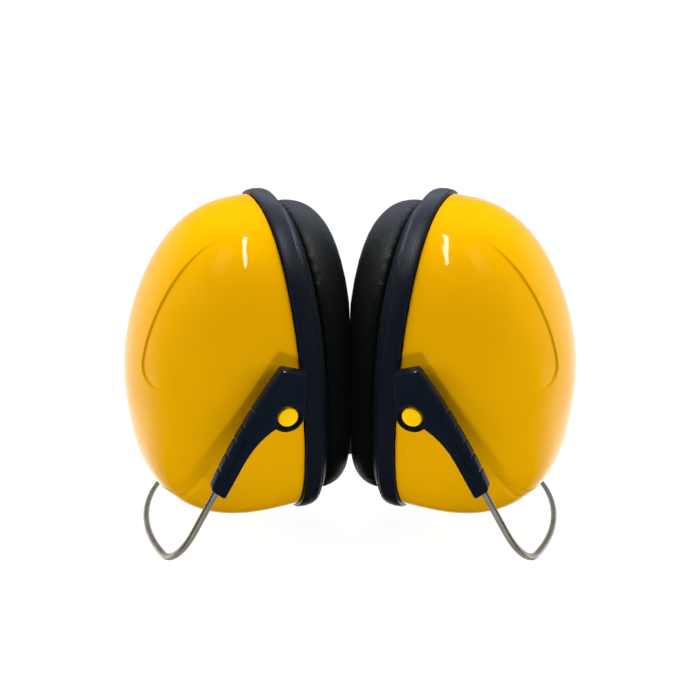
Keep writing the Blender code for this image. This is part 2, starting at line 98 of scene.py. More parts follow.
class Side(Enum):
    """The two sides, named as seen from the wearer's front."""

    LEFT = "left"
    RIGHT = "right"

    @property
    def way(self) -> float:
        """The side's sign along x."""
        return -1.0 if self is Side.LEFT else 1.0


class Place(Enum):
    """The two arms of a cup: value is the way along the cup's y axis."""

    FRONT = -1.0
    REAR = 1.0

    @property
    def word(self) -> str:
        """The place as it stands in a node's name."""
        return self.name.lower()


class Slot(Enum):
    """The record's material slots."""

    SHELL = "yellow_shell"
    RING = "black_ring"
    PLATE = "black_plate"
    CUSHION = "black_cushion"
    FOAM = "grey_foam"
    ARM = "black_arm"
    STEEL = "spring_steel"
    SLEEVE = "black_sleeve"


class Bench:
    """Blender's modelling operators, gathered into the few moves that these pieces need."""

    doubles = 1e-7
    bevel_angle = math.radians(20.0)

    @staticmethod
    def clear() -> None:
        """Leave edit mode and select nothing."""
        if bpy.context.mode != "OBJECT":
            bpy.ops.object.mode_set(mode="OBJECT")
        bpy.ops.object.select_all(action="DESELECT")

    @staticmethod
    def pick(piece: Piece) -> None:
        """Make one piece the only one selected.

        Args:
            piece: the piece.
        """
        Bench.clear()
        piece.select_set(True)
        bpy.context.view_layer.objects.active = piece

    @staticmethod
    def edit_all(piece: Piece) -> None:
        """Open one piece in edit mode, all of it selected.

        Args:
            piece: the piece.
        """
        Bench.pick(piece)
        bpy.ops.object.mode_set(mode="EDIT")
        bpy.ops.mesh.select_all(action="SELECT")

    @staticmethod
    def extrude(piece: Piece, marks: list[int], row: Sequence[Vector]) -> list[int]:
        """Extrude the selected loop and bring its new corners to a row of places.

        Args:
            piece: the mesh in edit mode.
            marks: the selected loop's corners, in order.
            row: where the new corners go, in the same order.

        Returns:
            The new loop's corners, in the same order.
        """
        bpy.ops.mesh.extrude_edges_move()
        edit = bmesh.from_edit_mesh(piece.data)
        edit.verts.ensure_lookup_table()
        fresh = []
        for mark, place in zip(marks, row):
            corner = edit.verts[mark]
            ends = [edge.other_vert(corner) for edge in corner.link_edges]
            moved = next(end for end in ends if end.select)
            moved.co = place
            fresh.append(moved)
        edit.verts.index_update()
        return [corner.index for corner in fresh]

    @staticmethod
    def choose(piece: Piece, marks: Sequence[int]) -> None:
        """Select just some corners of a mesh in edit mode, and the edges between them.

        Args:
            piece: the mesh in edit mode.
            marks: the corners.
        """
        bpy.ops.mesh.select_all(action="DESELECT")
        edit = bmesh.from_edit_mesh(piece.data)
        edit.verts.ensure_lookup_table()
        for mark in marks:
            edit.verts[mark].select_set(True)
        edit.select_flush(True)

    @staticmethod
    def close(piece: Piece, marks: list[int], tip: Optional[Vector]) -> None:
        """Close an open end: on a tip if there is one, and flat if not.

        Args:
            piece: the mesh in edit mode.
            marks: the open loop's corners, in order.
            tip: the point that closes it, or None.
        """
        Bench.choose(piece, marks)
        if tip is None:
            bpy.ops.mesh.edge_face_add()
            return
        Bench.extrude(piece, marks, [tip] * len(marks))
        bpy.ops.mesh.merge(type="CENTER")

    @staticmethod
    def loft(
        name: str,
        rows: Sequence[Row],
        start: Optional[Vector] = None,
        end: Optional[Vector] = None,
        ring: bool = False,
    ) -> Piece:
        """Draw a circle out through rows of places, extrusion by extrusion.

        Args:
            name: the piece's name.
            rows: the places of each loop's corners, all of one count.
            start: a tip that closes the first loop; a flat face closes it where there is none.
            end: the same for the last loop.
            ring: join the last loop to the first, with no ends to close.

        Returns:
            The closed piece, its faces pointing outwards.
        """
        Bench.clear()
        bpy.ops.mesh.primitive_circle_add(vertices=len(rows[0]), radius=1.0, fill_type="NOTHING")
        piece = bpy.context.object
        piece.name = name
        piece.data.name = name
        bpy.ops.object.mode_set(mode="EDIT")
        bpy.ops.mesh.select_mode(type="VERT")
        edit = bmesh.from_edit_mesh(piece.data)
        edit.verts.ensure_lookup_table()
        first = [corner.index for corner in edit.verts]
        for mark, place in zip(first, rows[0]):
            edit.verts[mark].co = place
        marks = first
        for row in rows[1:]:
            marks = Bench.extrude(piece, marks, row)
        if ring:
            Bench.extrude(piece, marks, rows[0])
            bpy.ops.mesh.select_all(action="SELECT")
            bpy.ops.mesh.remove_doubles(threshold=Bench.doubles)
        else:
            Bench.close(piece, marks, end)
            Bench.close(piece, first, start)
        Bench.face_out(piece)
        return piece

    @staticmethod
    def face_out(piece: Piece) -> None:
        """Turn every face of a closed mesh outwards and go back to object mode.

        Args:
            piece: the piece.
        """
        Bench.edit_all(piece)
        bpy.ops.mesh.normals_make_consistent(inside=False)
        bpy.ops.object.mode_set(mode="OBJECT")

    @staticmethod
    def apply(piece: Piece, kind: str, **settings: Any) -> None:
        """Add a modifier and apply it.

        Args:
            piece: the piece.
            kind: the modifier's type.
            settings: the modifier's settings.
        """
        Bench.pick(piece)
        modifier = piece.modifiers.new(kind.lower(), kind)
        for name, value in settings.items():
            setattr(modifier, name, value)
        bpy.ops.object.modifier_apply(modifier=modifier.name)

    @staticmethod
    def subdivide(piece: Piece, levels: int) -> None:
        """Smooth a mesh by subdivision."""
        Bench.apply(piece, "SUBSURF", levels=levels, render_levels=levels)

    @staticmethod
    def bevel(piece: Piece, width: float) -> None:
        """Round a piece's sharp edges a little."""
        sharp = {"limit_method": "ANGLE", "angle_limit": Bench.bevel_angle}
        Bench.apply(piece, "BEVEL", width=width, segments=2, **sharp)

    @staticmethod
    def carve(piece: Piece, cutter: Piece) -> None:
        """Take a cutter's volume out of a piece and throw the cutter away."""
        Bench.apply(piece, "BOOLEAN", operation="DIFFERENCE", solver="EXACT", object=cutter)
        bpy.data.objects.remove(cutter, do_unlink=True)

    @staticmethod
    def shade(piece: Piece, degrees: float) -> None:
        """Shade a piece smooth, with edges steeper than this kept."""
        Bench.pick(piece)
        bpy.ops.object.shade_smooth_by_angle(angle=math.radians(degrees))

    @staticmethod
    def mirror(piece: Piece, name: str) -> Piece:
        """Copy a left piece to the right side, with its own mesh.

        Args:
            piece: the left piece.
            name: the right piece's name.

        Returns:
            The right piece.
        """
        Bench.pick(piece)
        bpy.ops.object.duplicate(linked=False)
        twin = bpy.context.object
        twin.name = name
        twin.data.name = name
        Bench.edit_all(twin)
        bpy.ops.transform.resize(value=(-1.0, 1.0, 1.0), center_override=(0.0, 0.0, 0.0))
        Bench.face_out(twin)
        return twin

    @staticmethod
    def read(things: Any, what: str) -> np.ndarray:
        """A vector that each corner or face of a mesh has.

        Args:
            things: the mesh's corners or faces.
            what: the vector's name.

        Returns:
            The vectors, one row each.
        """
        flat = np.empty(len(things) * 3)
        things.foreach_get(what, flat)
        return flat.reshape(-1, 3)

    @staticmethod
    def points(piece: Piece) -> np.ndarray:
        """The places of a mesh's corners, one row each."""
        return Bench.read(piece.data.vertices, "co")

    @staticmethod
    def normals(piece: Piece) -> np.ndarray:
        """The directions that a mesh's corners face, one row each."""
        return Bench.read(piece.data.vertices, "normal")

    @staticmethod
    def move(piece: Piece, places: np.ndarray) -> None:
        """Bring a mesh's corners to new places."""
        piece.data.vertices.foreach_set("co", places.reshape(-1))
        piece.data.update()

    @staticmethod
    def refine(piece: Piece, near: Callable[[np.ndarray], np.ndarray], cuts: int) -> None:
        """Subdivide the faces whose middles lie in a place.

        Args:
            piece: the mesh.
            near: tells for each middle, one row each, whether its face is cut.
            cuts: how many cuts each edge gets.
        """
        chosen = near(Bench.read(piece.data.polygons, "center"))
        Bench.pick(piece)
        bpy.ops.object.mode_set(mode="EDIT")
        bpy.ops.mesh.select_mode(type="FACE")
        bpy.ops.mesh.select_all(action="DESELECT")
        edit = bmesh.from_edit_mesh(piece.data)
        for face, wanted in zip(edit.faces, chosen):
            face.select_set(bool(wanted))
        bpy.ops.mesh.subdivide(number_cuts=cuts)
        bpy.ops.object.mode_set(mode="OBJECT")


class Nodes:
    """A material's node tree, with the links made as each node is added."""

    noise_low = 0.3
    noise_high = 0.7
    mix_low = 6
    mix_high = 7
    mix_result = 2

    def __init__(self, name: str) -> None:
        """Start an empty material with its shader and output.

        Args:
            name: the material's name.
        """
        self.material = bpy.data.materials.new(name)
        self.material.use_nodes = True
        self.tree = self.material.node_tree
        self.shader = self.tree.nodes["Principled BSDF"]
        self.place = self.add("ShaderNodeTexCoord").outputs["Object"]

    def add(self, kind: str, **inputs: Any) -> bpy.types.Node:
        """Add a node and set or link its inputs.

        Args:
            kind: the node's type.
            inputs: a value or another node's output for each named input, with _ for a space.

        Returns:
            The new node.
        """
        node = self.tree.nodes.new(kind)
        for name, value in inputs.items():
            self.feed(node.inputs[name.replace("_", " ")], value)
        return node

    def feed(self, socket: Socket, value: Any) -> None:
        """Link an output to a socket, or set the socket's own value.

        Args:
            socket: the socket.
            value: another node's output, or a plain value.
        """
        if isinstance(value, Socket):
            self.tree.links.new(value, socket)
        else:
            socket.default_value = value

    def noise(self, size: float, detail: float) -> Socket:
        """Soft noise with features of a real size."""
        node = self.add("ShaderNodeTexNoise", Vector=self.place, Scale=1.0 / size, Detail=detail)
        return node.outputs["Fac"]

    def cells(self, size: float) -> Socket:
        """Distance to the edges of cells of a real size.

        Args:
            size: about how wide a cell is.

        Returns:
            The distance.
        """
        node = self.add("ShaderNodeTexVoronoi")
        node.feature = "DISTANCE_TO_EDGE"
        self.feed(node.inputs["Vector"], self.place)
        node.inputs["Scale"].default_value = 1.0 / size
        return node.outputs["Distance"]

    def spread(self, value: Socket, low: float, high: float) -> Socket:
        """Stretch a noise's middle range over two values.

        Args:
            value: the noise.
            low: what its low middle becomes.
            high: what its high middle becomes.

        Returns:
            The stretched value.
        """
        node = self.add("ShaderNodeMapRange", Value=value, To_Min=low, To_Max=high)
        node.inputs["From Min"].default_value = self.noise_low
        node.inputs["From Max"].default_value = self.noise_high
        return node.outputs["Result"]

    def tint(self, value: Socket, low: Colour, high: Colour) -> Socket:
        """Colours between two, by a value.

        Args:
            value: where between the two, from 0 to 1.
            low: the colour at 0.
            high: the colour at 1.

        Returns:
            The colour.
        """
        node = self.add("ShaderNodeMix")
        node.data_type = "RGBA"
        self.feed(node.inputs["Factor"], value)
        node.inputs[self.mix_low].default_value = (*low, 1.0)
        node.inputs[self.mix_high].default_value = (*high, 1.0)
        return node.outputs[self.mix_result]

    def bump(
        self, height: Socket, depth: float, strength: float, under: Optional[Socket] = None
    ) -> Socket:
        """Turn a height into a surface direction, over another bump if there is one.

        Args:
            height: the height, from 0 to 1.
            depth: how deep that is.
            strength: how much of it shows.
            under: the bump that it lies over.

        Returns:
            The surface's direction.
        """
        node = self.add("ShaderNodeBump", Height=height, Distance=depth, Strength=strength)
        if under is not None:
            self.feed(node.inputs["Normal"], under)
        return node.outputs["Normal"]

    def finish(self, **inputs: Any) -> bpy.types.Material:
        """Set or link the shader's inputs and hand the material over.

        Args:
            inputs: a value or a node's output for each named input, with _ for a space.

        Returns:
            The material.
        """
        for name, value in inputs.items():
            self.feed(self.shader.inputs[name.replace("_", " ")], value)
        return self.material


@dataclass(frozen=True)
class Finish:
    """A finish of the earmuff: its name and the two tones that it drifts between."""

    name: str
    deep: Colour
    pale: Colour

    def material(self) -> bpy.types.Material:
        """The finish as a material, made once."""
        made = bpy.data.materials.get(self.name)
        return made or self.mix(Nodes(self.name))

    def mix(self, nodes: Nodes) -> bpy.types.Material:
        """Set a new material's shader up: each finish has its own way."""
        raise NotImplementedError(nodes)


@dataclass(frozen=True)
class MouldedPlastic(Finish):
    """A moulded plastic: two close tones, a range of gloss and a fine skin."""

    gloss: Span
    cloud: float
    skin: float
    skin_depth: float
    specular: float

    def mix(self, nodes: Nodes) -> bpy.types.Material:
        """Set the plastic's shader up.

        Args:
            nodes: the new material's nodes.

        Returns:
            The material.
        """
        cloud = nodes.noise(self.cloud, 3.0)
        skin = nodes.noise(self.skin, 1.0)
        return nodes.finish(
            Base_Color=nodes.tint(cloud, self.deep, self.pale),
            Roughness=nodes.spread(cloud, *self.gloss),
            Specular_IOR_Level=self.specular,
            Normal=nodes.bump(skin, self.skin_depth, 1.0),
        )


@dataclass(frozen=True)
class GrainedCover(Finish):
    """A soft plastic cover with a leather grain: cells with creases between them."""

    grain: float
    crease: float
    gloss: Span
    specular: float
    fine_share: float = 0.4
    cloud_share: float = 14.0
    fine_depth: float = 0.3
    fine_strength: float = 0.6
    crease_strength: float = 0.7

    def mix(self, nodes: Nodes) -> bpy.types.Material:
        """Set the cover's shader up.

        Args:
            nodes: the new material's nodes.

        Returns:
            The material.
        """
        cells = nodes.cells(self.grain)
        fine = nodes.noise(self.fine_share * self.grain, 3.0)
        cloud = nodes.noise(self.cloud_share * self.grain, 2.0)
        low = nodes.bump(fine, self.fine_depth * self.crease, self.fine_strength)
        return nodes.finish(
            Base_Color=nodes.tint(cloud, self.deep, self.pale),
            Roughness=nodes.spread(fine, *self.gloss),
            Specular_IOR_Level=self.specular,
            Normal=nodes.bump(cells, self.crease, self.crease_strength, low),
        )


@dataclass(frozen=True)
class OpenFoam(Finish):
    """Open-celled foam: dark pores in a matt grey."""

    pore: float
    cloud_share: float = 8.0
    pore_depth: float = 0.6
    roughness: float = 0.95
    specular: float = 0.15

    def mix(self, nodes: Nodes) -> bpy.types.Material:
        """Set the foam's shader up.

        Args:
            nodes: the new material's nodes.

        Returns:
            The material.
        """
        pores = nodes.cells(self.pore)
        cloud = nodes.noise(self.cloud_share * self.pore, 3.0)
        return nodes.finish(
            Base_Color=nodes.tint(nodes.spread(cloud, 0.0, 1.0), self.deep, self.pale),
            Roughness=self.roughness,
            Specular_IOR_Level=self.specular,
            Normal=nodes.bump(pores, self.pore_depth * self.pore, 1.0),
        )


@dataclass(frozen=True)
class DrawnSteel(Finish):
    """Drawn spring steel: two tones of grey and a slightly uneven shine."""

    gloss: Span
    cloud: float
    scratch: float
    fine_share: float = 0.1
    scratch_strength: float = 0.5

    def mix(self, nodes: Nodes) -> bpy.types.Material:
        """Set the steel's shader up.

        Args:
            nodes: the new material's nodes.

        Returns:
            The material.
        """
        cloud = nodes.noise(self.cloud, 3.0)
        fine = nodes.noise(self.fine_share * self.cloud, 2.0)
        return nodes.finish(
            Base_Color=nodes.tint(nodes.spread(cloud, 0.0, 1.0), self.deep, self.pale),
            Metallic=1.0,
            Roughness=nodes.spread(fine, *self.gloss),
            Normal=nodes.bump(fine, self.scratch, self.scratch_strength),
        )


YELLOW = MouldedPlastic(
    "yellow_gloss",
    deep=(0.745, 0.366, 0.0006),
    pale=(0.80, 0.397, 0.0008),
    gloss=(0.03, 0.06),
    cloud=16.0 * MM,
    skin=0.9 * MM,
    skin_depth=0.002 * MM,
    specular=0.14,
)
BUTTON_YELLOW = MouldedPlastic(
    "button_yellow",
    deep=(0.84, 0.50, 0.0010),
    pale=(0.90, 0.54, 0.0014),
    gloss=(0.12, 0.20),
    cloud=4.0 * MM,
    skin=0.5 * MM,
    skin_depth=0.003 * MM,
    specular=0.14,
)
RING_BLACK = MouldedPlastic(
    "ring_satin_black",
    deep=(0.0050, 0.0072, 0.0125),
    pale=(0.0066, 0.0092, 0.0155),
    gloss=(0.28, 0.38),
    cloud=10.0 * MM,
    skin=0.60 * MM,
    skin_depth=0.075 * MM,
    specular=0.10,
)
PLATE_BLACK = MouldedPlastic(
    "plate_satin_black",
    deep=(0.0045, 0.0066, 0.0088),
    pale=(0.0062, 0.0088, 0.0115),
    gloss=(0.36, 0.48),
    cloud=9.0 * MM,
    skin=0.60 * MM,
    skin_depth=0.075 * MM,
    specular=0.10,
)
ARM_BLACK = MouldedPlastic(
    "arm_gloss_black",
    deep=(0.0044, 0.0072, 0.0130),
    pale=(0.0058, 0.0090, 0.0158),
    gloss=(0.13, 0.20),
    cloud=8.0 * MM,
    skin=0.40 * MM,
    skin_depth=0.005 * MM,
    specular=0.14,
)
SLEEVE_BLACK = MouldedPlastic(
    "sleeve_soft_black",
    deep=(0.006, 0.006, 0.007),
    pale=(0.011, 0.011, 0.012),
    gloss=(0.48, 0.62),
    cloud=12.0 * MM,
    skin=0.45 * MM,
    skin_depth=0.03 * MM,
    specular=0.20,
)
CUSHION_COVER = GrainedCover(
    "cushion_grained_black",
    deep=(0.0022, 0.0032, 0.0036),
    pale=(0.0042, 0.0058, 0.0062),
    grain=0.75 * MM,
    crease=0.20 * MM,
    gloss=(0.38, 0.50),
    specular=0.16,
)
DARK_FOAM = OpenFoam(
    "foam_dark_grey",
    deep=(0.055, 0.056, 0.060),
    pale=(0.110, 0.111, 0.116),
    pore=0.9 * MM,
)
SPRING_STEEL = DrawnSteel(
    "spring_steel_drawn",
    deep=(0.27, 0.245, 0.19),
    pale=(0.38, 0.355, 0.295),
    gloss=(0.24, 0.36),
    cloud=5.0 * MM,
    scratch=0.02 * MM,
)


def show(piece: Piece, finish: Finish, slot: Slot, body: Optional[str], *nodes: str) -> None:
    """Dress a finished piece, let it ride on its body and stand for its nodes, and report it.

    Args:
        piece: the finished mesh.
        finish: the finish that it gets.
        slot: the record's slot for that finish; not used.
        body: the body that it rides on, or None where it bends between two.
        nodes: the nodes that it stands for.
    """
    piece.data.materials.clear()
    piece.data.materials.append(finish.material())
    if body:
        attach(piece, body)
    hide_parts(*nodes)
    LOG.info("%s: %d faces", piece.name, len(piece.data.polygons))


def smooth_step(value: Any) -> Any:
    """Ease from 0 to 1 while a value, or each of an array, goes from 0 to 1."""
    held = np.clip(value, 0.0, 1.0)
    return held * held * (3.0 - 2.0 * held)


def smooth_curve(knots: Sequence[Vector], steps: int) -> Row:
    """A smooth curve through knots.

    Args:
        knots: the points that it passes through.
        steps: how many points each stretch gets.

    Returns:
        The curve's points, from the first knot to the last.
    """
    ends = [2.0 * knots[0] - knots[1], *knots, 2.0 * knots[-1] - knots[-2]]
    made = []
    for before, near, far, after in zip(ends, ends[1:], ends[2:], ends[3:]):
        for k in range(steps):
            t = k / steps
            slope = far - before
            bend = 2.0 * before - 5.0 * near + 4.0 * far - after
            twist = 3.0 * (near - far) + after - before
            made.append(near + 0.5 * t * (slope + t * (bend + t * twist)))
    made.append(knots[-1].copy())
    return made


def arc(centre: Vector, radius: float, first: float, last: float, steps: int) -> Row:
    """Points of a flat arc between two angles, both ends included."""
    angles = [first + (last - first) * k / steps for k in range(steps + 1)]
    return [centre + radius * Vector((math.cos(a), math.sin(a))) for a in angles]


def rounded(corner: Vector, before: Vector, after: Vector, radius: float, steps: int) -> Row:
    """Points of an arc that rounds a corner between two neighbours.

    Args:
        corner: the sharp corner.
        before: the neighbour that the arc comes from.
        after: the neighbour that it goes to.
        radius: the arc's radius.
        steps: how many steps it has.

    Returns:
        The arc's points, both ends included.
    """
    into = (before - corner).normalized()
    out = (after - corner).normalized()
    half = 0.5 * math.acos(max(-1.0, min(1.0, into.dot(out))))
    centre = corner + (into + out).normalized() * (radius / math.sin(half))
    first = corner + into * (radius / math.tan(half)) - centre
    last = corner + out * (radius / math.tan(half)) - centre
    return [centre + radius * first.slerp(last, k / steps) for k in range(steps + 1)]


def pulled_curve(start: Vector, pull: Vector, end: Vector, steps: int) -> Row:
    """Points of a curve that leaves its start for a point and arrives from it at its end."""
    shares = [k / steps for k in range(steps + 1)]
    return [start.lerp(pull, share).lerp(pull.lerp(end, share), share) for share in shares]


def tube_rows(path: Sequence[Vector], radius: float, sides: int) -> list[Row]:
    """Round sections along a path, carried along without twist.

    Args:
        path: the middle of each section.
        radius: the bar's radius.
        sides: corners in a section.

    Returns:
        One row of corners for each point of the path.
    """
    rows = []
    side = (path[1] - path[0]).orthogonal().normalized()
    angles = [FULL_TURN * k / sides for k in range(sides)]
    for i, point in enumerate(path):
        before = path[max(i - 1, 0)]
        after = path[min(i + 1, len(path) - 1)]
        heading = (after - before).normalized()
        side = (side - heading * side.dot(heading)).normalized()
        up = heading.cross(side)
        rows.append([point + radius * (side * math.cos(a) + up * math.sin(a)) for a in angles])
    return rows


@dataclass(frozen=True)
class Stance:
    """How the left cup stands: turned to the middle, leaned over and pitched back."""

    yaw: float = math.radians(17.5)
    lean: float = math.radians(8.5)
    pitch: float = math.radians(20.5)

    def turn(self) -> Matrix:
        """The cup's turn as a matrix."""
        lean = Matrix.Rotation(-self.lean, 4, "Y") @ Matrix.Rotation(self.pitch, 4, "X")
        return Matrix.Rotation(self.yaw, 4, "Z") @ lean

    def frame(self, pivot: Vector, offset: Vector) -> Matrix:
        """The cup's frame, from its pivot's place on the stand and in the cup."""
        turn = self.turn()
        return Matrix.Translation(pivot - turn @ offset) @ turn


# Lines on the shell's front flank, in the cup: millimetres outwards, to the back and up
LEAF = (
    (10.0, -18.5, 50.0),
    (14.0, -16.5, 49.0),
    (19.0, -15.8, 47.3),
    (25.5, -15.6, 42.8),
    (30.0, -15.3, 37.5),
    (34.5, -15.2, 31.0),
    (38.0, -15.0, 24.5),
    (40.6, -15.0, 18.5),
    (42.5, -15.3, 12.2),
    (42.8, -16.6, 9.6),
    (42.4, -18.4, 7.9),
    (41.2, -21.2, 6.7),
    (39.6, -23.9, 6.6),
    (38.0, -26.5, 7.2),
)
CHIN = (
    (24.5, -37.2, -14.6),
    (28.0, -35.2, -16.6),
    (30.4, -32.6, -21.6),
    (33.6, -28.5, -28.0),
    (36.0, -23.0, -34.0),
    (37.6, -16.0, -38.6),
    (38.4, -8.0, -41.0),
    (38.6, -3.0, -41.6),
)
RIDGE = (
    (8.0, -25.6, 45.5),
    (10.8, -27.6, 42.5),
    (13.6, -29.4, 39.3),
    (16.6, -31.0, 35.4),
    (19.2, -32.1, 32.2),
    (21.2, -32.4, 28.9),
    (23.7, -33.2, 24.1),
    (25.0, -34.1, 19.7),
    (26.0, -34.8, 15.5),
    (26.4, -35.2, 9.0),
    (26.4, -35.4, 2.0),
)
# Share of the cushion's thickness and of the way from its outer edge to the ear, round its section
CUSHION_SECTION = (
    (0.00, 0.00),
    (0.12, -0.012),
    (0.30, -0.002),
    (0.50, 0.030),
    (0.68, 0.085),
    (0.83, 0.165),
    (0.93, 0.26),
    (0.985, 0.365),
    (1.00, 0.48),
    (0.99, 0.61),
    (0.93, 0.73),
    (0.80, 0.85),
    (0.60, 0.95),
    (0.36, 1.00),
    (0.14, 0.99),
    (0.00, 0.95),
)
# Millimetres in from the ring's chamfer and along the cup, round the plate's outer step
PLATE_STEP = ((0.10, 0.0), (0.05, 0.1), (0.25, 0.5))
# Shares of the way from the middle of the foam's face to its edge
FOAM_LOOPS = (0.15, 0.3, 0.45, 0.6, 0.75, 0.88, 0.96)
# Settings of the cloth that the stuffing blows up
STUFFING = {
    "quality": 6,
    "mass": 0.2,
    "tension_stiffness": 25.0,
    "compression_stiffness": 25.0,
    "shear_stiffness": 10.0,
    "bending_stiffness": 0.8,
    "use_pressure": True,
    "uniform_pressure_force": 4.0,
}
STUFFING_STEPS = 15


@dataclass
class Cup:
    """One ear cup: shell, rim ring, cushion plate, cushion and foam."""

    frame: Matrix
    half_height: float = 53.7 * MM
    half_width: float = 43.0 * MM
    depth: float = 48.5 * MM
    wall: float = 2.2 * MM
    oval_power: float = 2.3
    apex_drop: float = 8.3 * MM
    top_power: float = 1.9
    bottom_power: float = 3.0
    side_power: float = 2.1
    outer_levels: int = 26
    inner_levels: int = 7
    outer_rim: float = 0.006
    inner_rim: float = 0.02
    line_steps: int = 12
    line_reach: float = 1.8 * MM
    line_cuts: int = 3
    scoop_depth: float = 0.62 * MM
    scoop_edge: float = 0.5 * MM
    scoop_slope: float = 16.0 * MM
    scoop_start: float = 26.0 * MM
    scoop_end: float = 10.0 * MM
    chin_depth: float = 0.20 * MM
    chin_width: float = 0.9 * MM
    chin_start: float = 0.15
    chin_end: float = 0.5
    overhang: float = 1.1 * MM
    ring_width: float = 5.4 * MM
    ring_chamfer: float = 0.32 * MM
    ring_wall: float = 8.0 * MM
    ring_edge: float = 0.45 * MM
    ring_crown: float = 0.25 * MM
    ring_crown_at: float = 0.4
    round_share: float = 0.3
    ring_bevel: float = 0.25 * MM
    plate_thickness: float = 2.7 * MM
    plate_chamfer: float = 3.5 * MM
    plate_brow: float = 0.9 * MM
    plate_brow_drop: float = 0.35 * MM
    plate_lip: float = 0.7 * MM
    plate_bevel: float = 0.2 * MM
    ear_half_height: float = 33.0 * MM
    ear_half_width: float = 22.0 * MM
    cushion_inset: float = 3.2 * MM
    cushion_thickness: float = 11.4 * MM
    cushion_heel: float = 1.9 * MM
    heel_slope: float = 1.5
    heel_start: float = 0.4
    cushion_lean: float = math.radians(2.5)
    cushion_slack: float = 0.4 * MM
    cushion_swell: float = 1.3 * MM
    cushion_voxel: float = 1.4 * MM
    cushion_held: float = 0.9 * MM
    cushion_fade: float = 4.0 * MM
    pucker_depth: float = 0.02 * MM
    pucker_fade: float = 0.75
    gathers: float = 46.0
    drifts: float = 7.0
    drift_size: float = 1.7
    fine_gathers: float = 71.0
    fine_start: float = 2.0
    fine_share: float = 0.6
    meet_gap: float = 0.04 * MM
    meet_swell: float = 0.30 * MM
    meet_period: float = 20.0 * MM
    meet_softness: float = 0.35 * MM
    foam_face: float = 14.0 * MM
    foam_gap: float = 0.7 * MM
    foam_levels: int = 8
    foam_dip: float = 0.5 * MM
    foam_roll: float = 1.2 * MM
    foam_roll_share: float = 0.995
    foam_dent: float = 0.35 * MM
    dent_start: float = 2.5 * MM
    dent_ramp: float = 1.5 * MM
    dent_across: float = 3.1 * MM
    dent_up: float = 3.4 * MM
    dent_shift: float = 0.7
    seat_gap: float = 0.3 * MM
    seam: float = 0.04 * MM
    corners: int = 72
    batch: int = 4000

    def around(self) -> list[Span]:
        """Shares of the half height and of the half width at each corner of the cup's oval."""
        shares = []
        for k in range(self.corners):
            angle = FULL_TURN * k / self.corners
            pair = (math.cos(angle), math.sin(angle))
            up, across = [math.copysign(abs(v) ** (2.0 / self.oval_power), v) for v in pair]
            shares.append((up, across))
        return shares

    def oval(self, half_height: float, half_width: float, x: float) -> Row:
        """The cup's oval at one station along its x axis, in the world."""
        flat = [Vector((x, half_width * across, half_height * up)) for up, across in self.around()]
        return [self.frame @ place for place in flat]

    def rim_oval(self, inset: float, x: float) -> Row:
        """The shell's rim moved in by an inset, at one station."""
        return self.oval(self.half_height - inset, self.half_width - inset, x)

    @staticmethod
    def taper(share: float, power: float) -> float:
        """Width left at a share of the dome's depth."""
        return max(0.0, 1.0 - share**power) ** (1.0 / power)

    def dome(self, share: float, inset: float) -> Row:
        """The dome's section at a share of its depth.

        Args:
            share: the share of the depth, from 0 at the rim.
            inset: how far the section lies inside the outer wall.

        Returns:
            The section's corners, in the world.
        """
        half_height = self.half_height - inset
        half_width = (self.half_width - inset) * self.taper(share, self.side_power)
        above = (half_height + self.apex_drop) * self.taper(share, self.top_power)
        below = (half_height - self.apex_drop) * self.taper(share, self.bottom_power)
        rim = (1.0 - share) ** 2
        x = -(self.depth - inset) * share
        places = []
        for up, across in self.around():
            dropped = -self.apex_drop + up * (above if up > 0.0 else below)
            z = rim * half_height * up + (1.0 - rim) * dropped
            places.append(self.frame @ Vector((x, half_width * across, z)))
        return places

    def apex(self, inset: float) -> Vector:
        """The dome's outermost point."""
        return self.frame @ Vector((inset - self.depth, 0.0, -self.apex_drop))

    def plate_start(self) -> float:
        """Where the cushion's plate meets the ring."""
        return self.ring_width + 2.0 * self.seat_gap

    def cushion_start(self) -> float:
        """Where the cushion meets its plate."""
        return self.plate_start() + self.plate_thickness + self.seam

    def inside(self, places: np.ndarray) -> np.ndarray:
        """Places of the world in the cup's frame, one row each."""
        back = np.array(self.frame.inverted())
        return places @ back[:3, :3].T + back[:3, 3]

    def on_flank(self, places: np.ndarray) -> np.ndarray:
        """Places of the world in the cup's frame, with the rear flank folded onto the front one.

        Args:
            places: the places, one row each.

        Returns:
            The folded places, one row each.
        """
        folded = self.inside(places)
        folded[:, 1] = -np.abs(folded[:, 1])
        return folded

    def build_shell(self, name: str) -> Piece:
        """The yellow dome with its rim, its scooped flanks and its chin line.

        Args:
            name: the piece's name.

        Returns:
            The finished shell.
        """
        levels = self.outer_levels
        turns = [QUARTER_TURN * (k + 0.5) / levels for k in range(1, levels)]
        outer = [0.0, self.outer_rim] + [math.sin(turn) for turn in turns]
        levels = self.inner_levels
        inner = [0.0, self.inner_rim] + [math.sin(QUARTER_TURN * k / levels) for k in range(1, levels)]
        rows = [self.dome(share, 0.0) for share in reversed(outer)]
        rows += [self.dome(share, self.wall) for share in inner]
        shell = Bench.loft(name, rows, self.apex(0.0), self.apex(self.wall))
        Bench.subdivide(shell, levels=2)
        self.scoop(shell)
        Bench.shade(shell, degrees=60.0)
        return shell

    def flank_curve(self, shell: Piece, knots: Sequence[Spot]) -> np.ndarray:
        """A line on the front flank, through knots given outwards, to the back and up in the cup.

        Args:
            shell: the dome that the line lies on.
            knots: the places that it passes, in millimetres.

        Returns:
            Points of the line in the cup's frame, one row each.
        """
        back = self.frame.inverted()
        laid = []
        for out, across, up in knots:
            place = self.frame @ Vector((-out * MM, across * MM, up * MM))
            laid.append(back @ shell.closest_point_on_mesh(place)[1])
        return np.array([list(point) for point in smooth_curve(laid, self.line_steps)])

